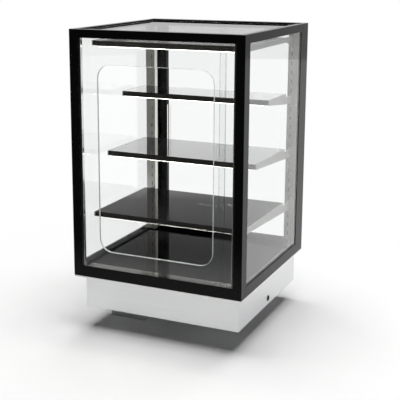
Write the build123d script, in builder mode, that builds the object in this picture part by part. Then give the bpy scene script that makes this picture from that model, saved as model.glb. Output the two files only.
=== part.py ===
"""Drop-in heated display case: glass case over a sheet-metal tub that hangs in a counter cut-out.

Millimetres. X runs across the case, Y from the customer's side to the server's side, Z up.
The origin is the centre of the case's plan, level with the counter's surface.
"""
from build123d import *
from math import cos, radians, sin
import os

os.makedirs("parts", exist_ok=True)

# Case that stands above the counter
case_width = 600.0
case_depth = 610.0
case_height = 820.0
rim_thickness = 5.0

# Tub that hangs below the counter
tub_side_inset = 23.0
tub_front_inset = 40.0
tub_rear_inset = 12.0
tub_drop = 116.0
sheet = 1.5

# Frame sections
frame_bar = 20.0
post_depth = 34.0
lip_reach = 9.0
side_lip_reach = 8.0
lip_thickness = 2.0
top_border = 27.0
bottom_border = 37.0
rear_corner_depth = 66.0
rear_corner_thickness = 12.0
rear_stile_width = 51.0
rear_stile_depth = 20.0
stile_grooves = 2
stile_groove_width = 6.0
stile_groove_depth = 2.5
ledge_thickness = 4.0
deck_ledge_reach = 15.0

# Glass
pane = 8.0
door_pane = 6.0
top_pane_drop = 6.0
pane_clearance = 0.5
opening_width = 401.0
opening_height = 615.0
opening_sill = 96.0
opening_radius = 45.0
bead_depth = 12.0
bead_height = 17.0
side_bead_thickness = 4.0

# Rear doors and their tracks
track_depth = 62.0
groove_width = 10.0
inner_groove_inset = 50.0
outer_groove_inset = 32.0
sill_groove_depth = 12.0
header_groove_depth = 10.0
header_ledge = 13.0
header_lip_depth = 30.0
door_overlap = 30.0
door_side_gap = 2.0
shoe_length = 40.0
shoe_height = 7.7
shoe_floor = 2.7
shoe_inset = 30.0
running_gap = 0.3
pull_width = 12.0
pull_depth = 8.0
pull_height = 180.0
pull_inset = 64.0
finger_groove = 4.0

# Slotted uprights
upright_width = 35.5
upright_depth = 22.0
slot_inset = 13.0
slot_width = 4.0
slot_height = 15.0
slot_pitch = 32.0
first_slot_rise = 11.0
upright_head_gap = 2.0
lug_thickness = 5.0
lug_height = 40.0
lug_inset = 57.0
lug_count = 3

# Shelves. Each hangs in one slot of the uprights, counted from the lowest one
shelf_back_gap = 57.0
shelf_glass = 4.0
shelf_tray = 12.0
upper_shelf_depth = 171.0
middle_shelf_depth = 282.0
lower_shelf_depth = 377.0
upper_shelf_slot = 16
middle_shelf_slot = 10
lower_shelf_slot = 4
bracket_thickness = 3.0
bracket_nose = 17.0
bracket_heel = 36.0
tail_drop = 12.0
tail_foot = 40.0
hook_drop = 36.0
hook_height = 11.5
hook_reach = 8.0
hook_lip = 3.0
lamp_end_gap = 15.5
lamp_setback = 4.0
lamp_width = 10.0
lamp_height = 4.0

# Canopy under the top pane
canopy_depth = 373.0
canopy_rise = 19.0
canopy_height = 17.0
slots_above_canopy = 1
heater_glass_front_margin = 63.0
heater_glass_back_margin = 50.0
heater_glass_side_margin = 30.5
heater_glass_thickness = 3.0
screw_radius = 3.5
screw_head = 1.6
front_screw_inset = 93.0
back_screw_inset = 51.0

# Deck
deck_top = 28.0
deck_plate_thickness = 6.0
deck_strip_depth = 57.5
deck_rear_gap = 2.0
strip_gap = 1.0

# Cable hole in the tub's right wall
cable_hole_inset = 281.0
cable_hole_height = 22.0
grommet_bore = 6.5
grommet_neck = 8.5
grommet_flange = 10.5
grommet_lip = 1.5

# Control box under the tub
control_left_inset = 29.0
control_width = 129.0
control_front_inset = 119.0
control_back_inset = 3.0
control_height = 71.0
control_sheet = 1.2

# Switches and thermostat on the control box's rear face
power_rocker_inset = 19.0
light_rocker_inset = 47.0
rocker_width = 9.8
rocker_height = 16.0
rocker_back = 2.0
rocker_crown = 2.4
rocker_valley = 1.2
rocker_rest_angle = -8.0
rocker_gap = 0.4
rocker_end_gap = 0.8
rocker_pin = 1.2
pin_clearance = 0.05
switch_wall = 1.4
switch_bezel_border = 2.0
switch_bezel_thickness = 2.0
switch_body_depth = 16.0
rocker_pivot_depth = 1.5
knob_inset = 97.0
knob_radius = 12.0
knob_depth = 14.0
knob_mark_width = 1.4
knob_mark_depth = 0.8
knob_grips = 12
knob_grip_radius = 1.1
knob_shaft = 3.0
knob_shaft_length = 12.0
thermostat_width = 36.0
thermostat_height = 32.0
thermostat_depth = 28.0
terminal_width = 60.0
terminal_depth = 18.0
terminal_height = 16.0
terminal_poles = 6
terminal_side_inset = 57.0
terminal_back_inset = 230.0

# Fan and heater in the tub
fan_size = 92.0
fan_thickness = 25.0
fan_side_inset = 237.0
fan_back_inset = 143.0
fan_duct = 42.0
fan_corner = 5.0
fan_hub = 17.0
fan_hub_plate = 3.0
fan_strut = 4.0
fan_blades = 7
fan_blade_thickness = 2.0
fan_blade_pitch = 32.0
fan_blade_chord = 22.0
fan_blade_clearance = 2.0
fan_pin = 2.0
fan_hub_gap = 1.0
element_rod = 4.0
element_half_length = 170.0
element_pitch = 44.0
element_runs = 4
element_front_inset = 115.0
element_rise = 46.0
element_stand_half_span = 120.0
element_stand_thickness = 2.0
element_stand_margin = 14.0
driver_length = 130.0
driver_width = 42.0
driver_height = 30.0
driver_side_inset = 107.0
driver_back_inset = 103.0
driver_foot = 3.0

# Levels and edges that follow from the sizes above
left, right = -case_width / 2, case_width / 2
front, back = -case_depth / 2, case_depth / 2
base = rim_thickness
top = rim_thickness + case_height
sill = base + bottom_border
lintel = top - top_border
rail_low = lintel + lip_reach
bar_inner = right - frame_bar
post_back = front + post_depth
rear_corner_front = back - rear_corner_depth
rear_corner_inner = right - rear_corner_thickness
stile_front = back - rear_stile_depth
track_front = back - track_depth
glass_low = sill - lip_reach + pane_clearance
glass_high = lintel + lip_reach - pane_clearance
deck_underside = deck_top - deck_plate_thickness

# Uprights stand on the side rails, between the side panes' ends and the rear posts
upright_outer = right - lip_thickness - pane - pane_clearance
upright_inner = upright_outer - upright_width
slot_x = upright_inner + slot_inset
upright_back = rear_corner_front
upright_front = upright_back - upright_depth
upright_low = sill - lip_reach
upright_high = lintel - upright_head_gap
first_slot = upright_low + first_slot_rise
slot_count = int((upright_high - first_slot - slot_height) // slot_pitch) + 1
lug_pitch = (upright_high - upright_low - lug_height - 2 * lug_inset) / (lug_count - 1)

# Shelves and canopy hang on the uprights, and their brackets run through the slots' middles
shelf_back = upright_front - shelf_back_gap
shelf_edge = slot_x - bracket_thickness / 2
lamp_half_length = shelf_edge - lamp_end_gap
canopy_slot = first_slot + (slot_count - 1 - slots_above_canopy) * slot_pitch
canopy_underside = canopy_slot + canopy_rise
canopy_front = shelf_back - canopy_depth

# Tub, and what stands in it or hangs under it
tub_half_width = right - tub_side_inset
tub_inner_half = tub_half_width - sheet
tub_front = front + tub_front_inset
tub_back = back - tub_rear_inset
tub_floor = -tub_drop
floor_level = tub_floor + sheet
control_left = control_left_inset - tub_half_width
control_right = control_left + control_width
control_front = tub_front + control_front_inset
control_back = tub_back - control_back_inset
control_floor = tub_floor - control_height
control_middle = (tub_floor + control_floor) / 2
cable_hole_y = tub_back - cable_hole_inset
cable_hole_z = tub_floor + cable_hole_height


def block(x, y, z, mode=Mode.ADD):
    """Add a box between the limits in each pair."""
    middle = tuple((limits[0] + limits[1]) / 2 for limits in (x, y, z))
    with Locations(middle):
        Box(x[1] - x[0], y[1] - y[0], z[1] - z[0], mode=mode)


def finish(part, label):
    """Name a finished piece and write it."""
    part.label = label
    export_step(part, f"parts/{label}.step")
    return part


def finish_pair(part, stem):
    """Write a left-hand piece and its mirror image on the right."""
    finish(part, f"{stem}_left")
    with BuildPart() as mirrored:
        mirror(part, about=Plane.YZ)
    finish(mirrored.part, f"{stem}_right")


# Frame: front posts, with a lip over the front pane and one over the side pane
with BuildPart() as front_post:
    block((left, -bar_inner), (front, post_back), (base, top))
    block((-bar_inner, -bar_inner + lip_reach), (front, front + lip_thickness), (sill, lintel))
    block((left, left + lip_thickness), (post_back, post_back + side_lip_reach), (sill, lintel))
finish_pair(front_post.part, "front_post")

# Rear posts: a flat side with a lip over the side pane, a ribbed stile beside the doors, and
# lugs that hold the back of the slotted upright
stile_inner = rear_corner_inner - rear_stile_width
groove_step = rear_stile_width / (stile_grooves + 1)
with BuildPart() as rear_post:
    block((left, -rear_corner_inner), (rear_corner_front, back), (base, top))
    block((left, left + lip_thickness), (rear_corner_front - side_lip_reach, rear_corner_front),
          (sill, lintel))
    block((-rear_corner_inner, -stile_inner), (stile_front, back), (sill, lintel))
    for number in range(stile_grooves):
        groove_x = -rear_corner_inner + (number + 1) * groove_step
        block((groove_x - stile_groove_width / 2, groove_x + stile_groove_width / 2),
              (stile_front, stile_front + stile_groove_depth), (sill, lintel), Mode.SUBTRACT)
    for number in range(lug_count):
        level = upright_low + lug_inset + number * lug_pitch
        block((-rear_corner_inner, -upright_inner), (upright_back, upright_back + lug_thickness),
              (level, level + lug_height))
finish_pair(rear_post.part, "rear_post")

# Front rails between the posts
with BuildPart() as front_bottom_rail:
    block((-bar_inner, bar_inner), (front, front + frame_bar), (base, sill - lip_reach))
    block((-bar_inner, bar_inner), (front, front + lip_thickness), (sill - lip_reach, sill))
finish(front_bottom_rail.part, "front_bottom_rail")

with BuildPart() as front_top_rail:
    block((-bar_inner, bar_inner), (front, front + frame_bar), (rail_low, top))
    block((-bar_inner, bar_inner), (front, front + lip_thickness), (lintel, rail_low))
    block((-bar_inner, bar_inner), (front + frame_bar, front + frame_bar + lip_reach),
          (rail_low, rail_low + ledge_thickness))
finish(front_top_rail.part, "front_top_rail")

# Side rails, each with a lip over the pane and a ledge for the deck or the top pane
side_span = (post_back, rear_corner_front)
with BuildPart() as bottom_rail:
    block((left, -bar_inner), side_span, (base, sill - lip_reach))
    block((left, left + lip_thickness), side_span, (sill - lip_reach, sill))
    block((-bar_inner, -bar_inner + deck_ledge_reach), (front + frame_bar, rear_corner_front),
          (deck_underside - ledge_thickness, deck_underside))
finish_pair(bottom_rail.part, "bottom_rail")

with BuildPart() as top_rail:
    block((left, -bar_inner), side_span, (rail_low, top))
    block((left, left + lip_thickness), side_span, (lintel, rail_low))
    block((-bar_inner, -bar_inner + lip_reach), side_span, (rail_low, rail_low + ledge_thickness))
finish_pair(top_rail.part, "top_rail")

# Rear sill and header, each with two grooves for the sliding doors
inner_groove_y = back - inner_groove_inset
outer_groove_y = back - outer_groove_inset
groove_centres = (inner_groove_y, outer_groove_y)
with BuildPart() as rear_sill:
    block((-rear_corner_inner, rear_corner_inner), (track_front, back), (base, sill))
    for groove_y in groove_centres:
        block((-rear_corner_inner, rear_corner_inner),
              (groove_y - groove_width / 2, groove_y + groove_width / 2),
              (sill - sill_groove_depth, sill), Mode.SUBTRACT)
finish(rear_sill.part, "rear_sill")

header_level = lintel + header_ledge
with BuildPart() as rear_header:
    block((-rear_corner_inner, rear_corner_inner), (track_front, back), (lintel, header_level))
    block((-rear_corner_inner, rear_corner_inner), (back - header_lip_depth, back),
          (header_level, top))
    for groove_y in groove_centres:
        block((-rear_corner_inner, rear_corner_inner),
              (groove_y - groove_width / 2, groove_y + groove_width / 2),
              (lintel, lintel + header_groove_depth), Mode.SUBTRACT)
finish(rear_header.part, "rear_header")

# Front pane: its rounded cut-out is the customer's way in
pane_front = front + lip_thickness
front_pane_middle = (glass_low + glass_high) / 2
opening_middle = base + opening_sill + opening_height / 2
with BuildPart() as front_glass:
    with BuildSketch(Plane.XZ.offset(-pane_front)):
        with Locations((0, front_pane_middle)):
            Rectangle(2 * (bar_inner - pane_clearance), glass_high - glass_low)
        with Locations((0, opening_middle)):
            RectangleRounded(opening_width, opening_height, opening_radius, mode=Mode.SUBTRACT)
    extrude(amount=-pane)
finish(front_glass.part, "front_glass")

# Side panes and the top pane
with BuildPart() as side_glass:
    block((left + lip_thickness, left + lip_thickness + pane),
          (post_back + pane_clearance, rear_corner_front - pane_clearance),
          (glass_low, glass_high))
finish_pair(side_glass.part, "side_glass")

top_pane_low = rail_low + ledge_thickness
with BuildPart() as top_glass:
    block((-bar_inner + pane_clearance, bar_inner - pane_clearance),
          (front + frame_bar + pane_clearance, back - header_lip_depth - pane_clearance),
          (top_pane_low, top_pane_low + pane))
finish(top_glass.part, "top_glass")

# Glazing beads: bright strips behind the front pane's sides and along the side panes' feet
pane_inner = pane_front + pane
with BuildPart() as glazing_beads:
    for side in (-1, 1):
        x_limits = sorted((side * bar_inner, side * (bar_inner - bead_height)))
        block(x_limits, (pane_inner, pane_inner + bead_depth), (sill - lip_reach, rail_low))
        side_face = right - lip_thickness - pane
        x_limits = sorted((side * side_face, side * (side_face - side_bead_thickness)))
        block(x_limits, (post_back, upright_front - pane_clearance),
              (sill - lip_reach, sill - lip_reach + bead_height))
finish(glazing_beads.part, "glazing_beads")

# Sliding rear doors. Each pane stands on two shoes in its groove and is moved by a pull
door_half_span = rear_corner_inner - door_side_gap
door_low = sill - sill_groove_depth + running_gap
pane_low = door_low + shoe_floor
pane_high = lintel + header_groove_depth - 3 * running_gap
door_travel = door_half_span - door_overlap / 2
pull_middle = (sill + lintel) / 2


def build_door(side, groove_y, stem):
    """Write one door: its pane, shoes and pull. Side is -1 on the left and 1 on the right."""
    outer_edge = side * door_half_span
    inner_edge = -side * door_overlap / 2
    pane_y = (groove_y - door_pane / 2, groove_y + door_pane / 2)
    with BuildPart() as door_glass:
        block(sorted((outer_edge, inner_edge)), pane_y, (pane_low, pane_high))
    finish(door_glass.part, f"{stem}_glass")

    shoe_half_width = groove_width / 2 - running_gap
    with BuildPart() as shoes:
        for edge, direction in ((outer_edge, -side), (inner_edge, side)):
            start = edge + direction * shoe_inset
            x_limits = sorted((start, start + direction * shoe_length))
            block(x_limits, (groove_y - shoe_half_width, groove_y + shoe_half_width),
                  (door_low, door_low + shoe_height))
            block(x_limits, pane_y, (pane_low, door_low + shoe_height), Mode.SUBTRACT)
    finish(shoes.part, f"{stem}_shoes")

    pull_centre = outer_edge - side * (pull_inset + pull_width / 2)
    pull_limits = (pull_centre - pull_width / 2, pull_centre + pull_width / 2)
    height_limits = (pull_middle - pull_height / 2, pull_middle + pull_height / 2)
    with BuildPart() as pull:
        block(pull_limits, (pane_y[1], pane_y[1] + pull_depth), height_limits)
        with Locations((pull_centre, pane_y[1] + pull_depth, pull_middle)):
            Cylinder(finger_groove, pull_height, mode=Mode.SUBTRACT)
    finish(pull.part, f"{stem}_pull")


build_door(-1, inner_groove_y, "left_door")
build_door(1, outer_groove_y, "right_door")

# Slotted uprights: wide channels, open at the back, with one column of slots
with BuildPart() as slotted_upright:
    block((-upright_outer, -upright_inner), (upright_front, upright_back),
          (upright_low, upright_high))
    block((-upright_outer + sheet, -upright_inner - sheet),
          (upright_front + sheet, upright_back), (upright_low, upright_high), Mode.SUBTRACT)
    with BuildSketch(Plane.XZ.offset(-upright_front)):
        with Locations(*[(-slot_x, first_slot + number * slot_pitch + slot_height / 2)
                         for number in range(slot_count)]):
            Rectangle(slot_width, slot_height)
    extrude(amount=-sheet, mode=Mode.SUBTRACT)
finish_pair(slotted_upright.part, "slotted_upright")


def build_brackets(outline, slot_low, label):
    """Write both side brackets of a shelf or of the canopy as one node.

    The outline is a list of (Y, Z) corners. A hook passes through the slot whose lower edge is
    at slot_low, and its lip drops behind the upright's face.
    """
    plate_limits = (shelf_edge, shelf_edge + bracket_thickness)
    hook_end = upright_front + hook_reach
    lip_start = upright_front + sheet + running_gap
    with BuildPart() as brackets:
        with BuildSketch(Plane.YZ.offset(shelf_edge)):
            with BuildLine():
                Polyline(*outline, close=True)
            make_face()
        extrude(amount=bracket_thickness)
        block(plate_limits, (upright_front, hook_end), (slot_low, slot_low + hook_height))
        block(plate_limits, (lip_start, hook_end), (slot_low - hook_lip, slot_low))
        mirror(about=Plane.YZ)
    finish(brackets.part, label)


# Shelves
for name, slot, depth in (("upper", upper_shelf_slot, upper_shelf_depth),
                          ("middle", middle_shelf_slot, middle_shelf_depth),
                          ("lower", lower_shelf_slot, lower_shelf_depth)):
    slot_low = first_slot + slot * slot_pitch
    shelf_front = shelf_back - depth
    shelf_top = slot_low + hook_drop
    tray_top = shelf_top - shelf_glass
    tray_low = tray_top - shelf_tray
    depth_limits = (shelf_front, shelf_back)

    with BuildPart() as shelf_plate:
        block((-shelf_edge, shelf_edge), depth_limits, (tray_top, shelf_top))
    finish(shelf_plate.part, f"{name}_shelf_glass")

    with BuildPart() as tray:
        block((-shelf_edge, shelf_edge), depth_limits, (tray_low, tray_top))
    finish(tray.part, f"{name}_shelf_tray")

    tail_top = shelf_top - tail_drop
    shelf_outline = ((shelf_front, shelf_top), (shelf_back, shelf_top),
                     (shelf_back, tail_top), (upright_front, tail_top),
                     (upright_front, shelf_top - tail_foot),
                     (shelf_back, shelf_top - bracket_heel),
                     (shelf_front, shelf_top - bracket_nose))
    build_brackets(shelf_outline, slot_low, f"{name}_shelf_brackets")

    lamp_front = shelf_front + lamp_setback
    with BuildPart() as shelf_lamp:
        block((-lamp_half_length, lamp_half_length), (lamp_front, lamp_front + lamp_width),
              (tray_low - lamp_height, tray_low))
    finish(shelf_lamp.part, f"{name}_shelf_lamp")

# Canopy: a shallow housing on two brackets, with a light strip and a heater glass below
canopy_top = canopy_underside + canopy_height
with BuildPart() as canopy_housing:
    block((-shelf_edge, shelf_edge), (canopy_front, shelf_back), (canopy_underside, canopy_top))
finish(canopy_housing.part, "canopy_housing")

canopy_outline = ((canopy_front, canopy_top), (upright_front, canopy_top),
                  (upright_front, canopy_slot - hook_lip),
                  (shelf_back, canopy_underside), (canopy_front, canopy_underside))
build_brackets(canopy_outline, canopy_slot, "canopy_brackets")

canopy_lamp_front = canopy_front + lamp_setback
with BuildPart() as canopy_lamp:
    block((-lamp_half_length, lamp_half_length),
          (canopy_lamp_front, canopy_lamp_front + lamp_width),
          (canopy_underside - lamp_height, canopy_underside))
finish(canopy_lamp.part, "canopy_lamp")

with BuildPart() as canopy_heater_glass:
    block((heater_glass_side_margin - shelf_edge, shelf_edge - heater_glass_side_margin),
          (canopy_front + heater_glass_front_margin, shelf_back - heater_glass_back_margin),
          (canopy_underside - heater_glass_thickness, canopy_underside))
finish(canopy_heater_glass.part, "canopy_heater_glass")

with BuildPart() as canopy_screws:
    for side in (-1, 1):
        screw_x = side * (shelf_edge + bracket_thickness + screw_head / 2)
        for place in (canopy_front + front_screw_inset, shelf_back - back_screw_inset):
            with Locations((screw_x, place, canopy_underside + canopy_height / 2)):
                Cylinder(screw_radius, screw_head, rotation=(0, 90, 0))
finish(canopy_screws.part, "canopy_screws")

# Deck: a dark plate, and a polished strip in front of it
deck_half_width = bar_inner - pane_clearance
deck_levels = (deck_underside, deck_top)
strip_front = front + frame_bar + pane_clearance
deck_front = strip_front + deck_strip_depth + strip_gap
with BuildPart() as deck_plate:
    block((-deck_half_width, deck_half_width), (deck_front, upright_front - deck_rear_gap),
          deck_levels)
finish(deck_plate.part, "deck_plate")

with BuildPart() as deck_strip:
    block((-deck_half_width, deck_half_width), (strip_front, deck_front - strip_gap), deck_levels)
finish(deck_strip.part, "deck_strip")

# Counter rim: the flat ring that rests on the counter around the cut-out
with BuildPart() as counter_rim:
    block((left, right), (front, back), (0, rim_thickness))
    block((-tub_half_width, tub_half_width), (tub_front, tub_back), (0, rim_thickness),
          Mode.SUBTRACT)
finish(counter_rim.part, "counter_rim")

# Tub: one folded sheet makes its front, floor and back, and two side panels close it. Its upper
# edge is joined to the inside of the rim
with BuildPart() as tub_wrap:
    block((-tub_inner_half, tub_inner_half), (tub_front, tub_back), (tub_floor, rim_thickness))
    block((-tub_inner_half, tub_inner_half), (tub_front + sheet, tub_back - sheet),
          (tub_floor + sheet, rim_thickness), Mode.SUBTRACT)
finish(tub_wrap.part, "tub_wrap")

# The supply cable passes through a hole in the right side panel
with BuildPart() as tub_sides:
    for side in (-1, 1):
        block(sorted((side * tub_inner_half, side * tub_half_width)), (tub_front, tub_back),
              (tub_floor, rim_thickness))
    with BuildSketch(Plane.YZ.offset(tub_inner_half)):
        with Locations((cable_hole_y, cable_hole_z)):
            Circle(grommet_neck)
    extrude(amount=sheet, mode=Mode.SUBTRACT)
finish(tub_sides.part, "tub_sides")

with BuildPart() as cable_grommet:
    for plane_x, radius, thickness in (
            (tub_inner_half - grommet_lip, grommet_flange, grommet_lip),
            (tub_inner_half, grommet_neck, sheet),
            (tub_half_width, grommet_flange, grommet_lip)):
        with BuildSketch(Plane.YZ.offset(plane_x)):
            with Locations((cable_hole_y, cable_hole_z)):
                Circle(radius)
                Circle(grommet_bore, mode=Mode.SUBTRACT)
        extrude(amount=thickness)
finish(cable_grommet.part, "cable_grommet")

# Control box: a tray under the tub that reaches back to the server's side
knob_place = control_left + knob_inset
knob_centre = (knob_place, control_middle)
rocker_places = {"power": control_left + power_rocker_inset,
                 "light": control_left + light_rocker_inset}
with BuildPart() as control_box:
    block((control_left, control_right), (control_front, control_back),
          (control_floor, tub_floor))
    block((control_left + control_sheet, control_right - control_sheet),
          (control_front + control_sheet, control_back - control_sheet),
          (control_floor + control_sheet, tub_floor), Mode.SUBTRACT)
    with BuildSketch(Plane.XZ.offset(-(control_back - control_sheet))):
        with Locations(knob_centre):
            Circle(knob_shaft + running_gap)
        for place in rocker_places.values():
            with Locations((place, control_middle)):
                Rectangle(rocker_width + 2 * (rocker_gap + switch_wall),
                          rocker_height + 2 * (rocker_end_gap + switch_wall))
    extrude(amount=-control_sheet, mode=Mode.SUBTRACT)
finish(control_box.part, "control_box")

# Switch housings: open-fronted boxes through the rear face, with a bezel outside
pivot_y = control_back + switch_bezel_thickness - rocker_pivot_depth
housing_half_width = rocker_width / 2 + rocker_gap + switch_wall
housing_half_height = rocker_height / 2 + rocker_end_gap + switch_wall
cavity_depth = switch_body_depth - 2 * switch_wall
with BuildPart() as switch_housings:
    for place in rocker_places.values():
        block((place - housing_half_width, place + housing_half_width),
              (control_back - switch_body_depth, control_back),
              (control_middle - housing_half_height, control_middle + housing_half_height))
        block((place - housing_half_width - switch_bezel_border,
               place + housing_half_width + switch_bezel_border),
              (control_back, control_back + switch_bezel_thickness),
              (control_middle - housing_half_height - switch_bezel_border,
               control_middle + housing_half_height + switch_bezel_border))
        block((place - housing_half_width + switch_wall, place + housing_half_width - switch_wall),
              (control_back - cavity_depth, control_back + switch_bezel_thickness),
              (control_middle - housing_half_height + switch_wall,
               control_middle + housing_half_height - switch_wall), Mode.SUBTRACT)
        with Locations((place, pivot_y, control_middle)):
            Cylinder(rocker_pin + pin_clearance, 2 * housing_half_width, rotation=(0, 90, 0),
                     mode=Mode.SUBTRACT)
finish(switch_housings.part, "switch_housings")

# Rockers: each turns on its own pin and rests with its lower end pressed in
rocker_plane = Plane((0, pivot_y, control_middle), x_dir=(0, 1, 0), z_dir=(1, 0, 0))
for name, place in rocker_places.items():
    with BuildPart() as rocker:
        with BuildSketch(rocker_plane.offset(place - rocker_width / 2)):
            with BuildLine(Rot(0, 0, rocker_rest_angle)):
                Polyline((-rocker_back, -rocker_height / 2), (rocker_crown, -rocker_height / 2),
                         (rocker_valley, 0), (rocker_crown, rocker_height / 2),
                         (-rocker_back, rocker_height / 2), close=True)
            make_face()
        extrude(amount=rocker_width)
        with Locations((place, pivot_y, control_middle)):
            Cylinder(rocker_pin, 2 * housing_half_width, rotation=(0, 90, 0))
    finish(rocker.part, f"{name}_rocker")

# Thermostat behind the rear face, and its knob on a shaft through it
bore_depth = knob_shaft_length + running_gap
with BuildPart() as thermostat:
    block((knob_place - thermostat_width / 2, knob_place + thermostat_width / 2),
          (control_back - control_sheet - thermostat_depth, control_back - control_sheet),
          (control_middle - thermostat_height / 2, control_middle + thermostat_height / 2))
    with BuildSketch(Plane.XZ.offset(-(control_back - control_sheet))):
        with Locations(knob_centre):
            Circle(knob_shaft + pin_clearance)
    extrude(amount=bore_depth, mode=Mode.SUBTRACT)
finish(thermostat.part, "thermostat")

knob_face = control_back + running_gap
knob_end = knob_face + knob_depth
with BuildPart() as thermostat_knob:
    with BuildSketch(Plane.XZ.offset(-knob_face)):
        with Locations(knob_centre):
            Circle(knob_radius)
            with PolarLocations(knob_radius, knob_grips):
                Circle(knob_grip_radius, mode=Mode.SUBTRACT)
    extrude(amount=-knob_depth)
    block((knob_place - knob_mark_width / 2, knob_place + knob_mark_width / 2),
          (knob_end - knob_mark_depth, knob_end),
          (control_middle + knob_radius / 3, control_middle + knob_radius), Mode.SUBTRACT)
    with BuildSketch(Plane.XZ.offset(-knob_face)):
        with Locations(knob_centre):
            Circle(knob_shaft)
    extrude(amount=knob_shaft_length + control_sheet + running_gap - pin_clearance)
finish(thermostat_knob.part, "thermostat_knob")

with BuildPart() as terminal_block:
    terminal_x = control_left + terminal_side_inset
    terminal_y = control_back - terminal_back_inset
    terminal_low = control_floor + control_sheet
    block((terminal_x - terminal_width / 2, terminal_x + terminal_width / 2),
          (terminal_y - terminal_depth / 2, terminal_y + terminal_depth / 2),
          (terminal_low, terminal_low + terminal_height))
    pole_pitch = terminal_width / terminal_poles
    with Locations((terminal_x, terminal_y, terminal_low + terminal_height)):
        with GridLocations(pole_pitch, 1, terminal_poles, 1):
            Cylinder(pole_pitch / 4, terminal_height / 2, mode=Mode.SUBTRACT)
finish(terminal_block.part, "terminal_block")

# Circulation fan: a square housing that stands on the tub's floor, and its rotor
fan_centre_x = tub_half_width - fan_side_inset
fan_centre_y = tub_back - fan_back_inset
fan_centre_z = floor_level + fan_size / 2
fan_front = fan_centre_y - fan_thickness / 2
fan_back = fan_centre_y + fan_thickness / 2
with BuildPart() as fan_housing:
    with BuildSketch(Plane.XZ.offset(-fan_front)):
        with Locations((fan_centre_x, fan_centre_z)):
            RectangleRounded(fan_size, fan_size, fan_corner)
            Circle(fan_duct, mode=Mode.SUBTRACT)
    extrude(amount=-fan_thickness)
    with BuildSketch(Plane.XZ.offset(-(fan_back - fan_hub_plate))):
        with Locations((fan_centre_x, fan_centre_z)):
            Circle(fan_hub)
            Rectangle(2 * fan_duct + fan_hub_plate, fan_strut)
            Rectangle(fan_strut, 2 * fan_duct + fan_hub_plate)
            Circle(fan_pin + pin_clearance, mode=Mode.SUBTRACT)
    extrude(amount=-fan_hub_plate)
finish(fan_housing.part, "fan_housing")

rotor_depth = fan_thickness - fan_hub_plate - 2 * fan_hub_gap
blade_root = fan_hub / 2
blade_tip = fan_duct - fan_blade_clearance
with BuildPart() as fan_rotor:
    with BuildSketch(Plane.XZ.offset(-(fan_front + fan_hub_gap))):
        with Locations((fan_centre_x, fan_centre_z)):
            Circle(fan_hub)
    extrude(amount=-rotor_depth)
    for number in range(fan_blades):
        angle = number * 360 / fan_blades
        reach = (blade_root + blade_tip) / 2
        place = (fan_centre_x + reach * cos(radians(angle)), fan_centre_y - fan_hub_plate / 2,
                 fan_centre_z + reach * sin(radians(angle)))
        with Locations(Location(place, (0, -angle, 0)) * Rot(fan_blade_pitch, 0, 0)):
            Box(blade_tip - blade_root, fan_blade_thickness, fan_blade_chord)
    with BuildSketch(Plane.XZ.offset(-(fan_back - fan_hub_plate - fan_hub_gap))):
        with Locations((fan_centre_x, fan_centre_z)):
            Circle(fan_pin)
    extrude(amount=-(fan_hub_plate + fan_hub_gap))
finish(fan_rotor.part, "fan_rotor")

# Heating element: one rod in straight runs joined by half turns
bend = element_pitch / 2
element_front = tub_front + element_front_inset
element_level = tub_floor + element_rise
with BuildPart() as heating_element:
    with BuildLine() as element_path:
        for number in range(element_runs):
            run_y = element_front + number * element_pitch
            direction = 1 if number % 2 == 0 else -1
            Line((-direction * element_half_length, run_y, element_level),
                 (direction * element_half_length, run_y, element_level))
            if number < element_runs - 1:
                end_x = direction * element_half_length
                ThreePointArc((end_x, run_y, element_level),
                              (end_x + direction * bend, run_y + bend, element_level),
                              (end_x, run_y + element_pitch, element_level))
    start = Plane((-element_half_length, element_front, element_level), z_dir=(1, 0, 0))
    with BuildSketch(start):
        Circle(element_rod)
    sweep()
finish(heating_element.part, "heating_element")

# Element stands: plates on the tub's floor, bored for each run of the rod
element_span = (element_runs - 1) * element_pitch
with BuildPart() as element_stands:
    for stand_x in (-element_stand_half_span, element_stand_half_span):
        block((stand_x - element_stand_thickness / 2, stand_x + element_stand_thickness / 2),
              (element_front - element_stand_margin,
               element_front + element_span + element_stand_margin),
              (floor_level, element_level + element_stand_margin))
        for number in range(element_runs):
            with Locations((stand_x, element_front + number * element_pitch, element_level)):
                Cylinder(element_rod, element_stand_thickness, rotation=(0, 90, 0),
                         mode=Mode.SUBTRACT)
finish(element_stands.part, "element_stands")

# Light driver: a sealed box with two fixing feet
driver_x = driver_side_inset - tub_half_width
driver_y = tub_back - driver_back_inset
with BuildPart() as light_driver:
    block((driver_x - driver_length / 2, driver_x + driver_length / 2),
          (driver_y - driver_width / 2, driver_y + driver_width / 2),
          (floor_level, floor_level + driver_height))
    fillet(light_driver.edges().filter_by(Axis.Z), driver_foot)
    block((driver_x - driver_length / 2 - driver_width / 2,
           driver_x + driver_length / 2 + driver_width / 2),
          (driver_y - driver_width / 4, driver_y + driver_width / 4),
          (floor_level, floor_level + driver_foot))
finish(light_driver.part, "light_driver")
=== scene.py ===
"""Drop-in heated display case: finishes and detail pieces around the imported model, and its studio.

Metres. X runs across the case, Y from the customer's side to the server's side, Z up. The origin
is the centre of the case's plan, level with the counter's surface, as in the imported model.
"""

import logging
from dataclasses import dataclass
from enum import Enum
from math import pi, radians
from typing import Sequence

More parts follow.
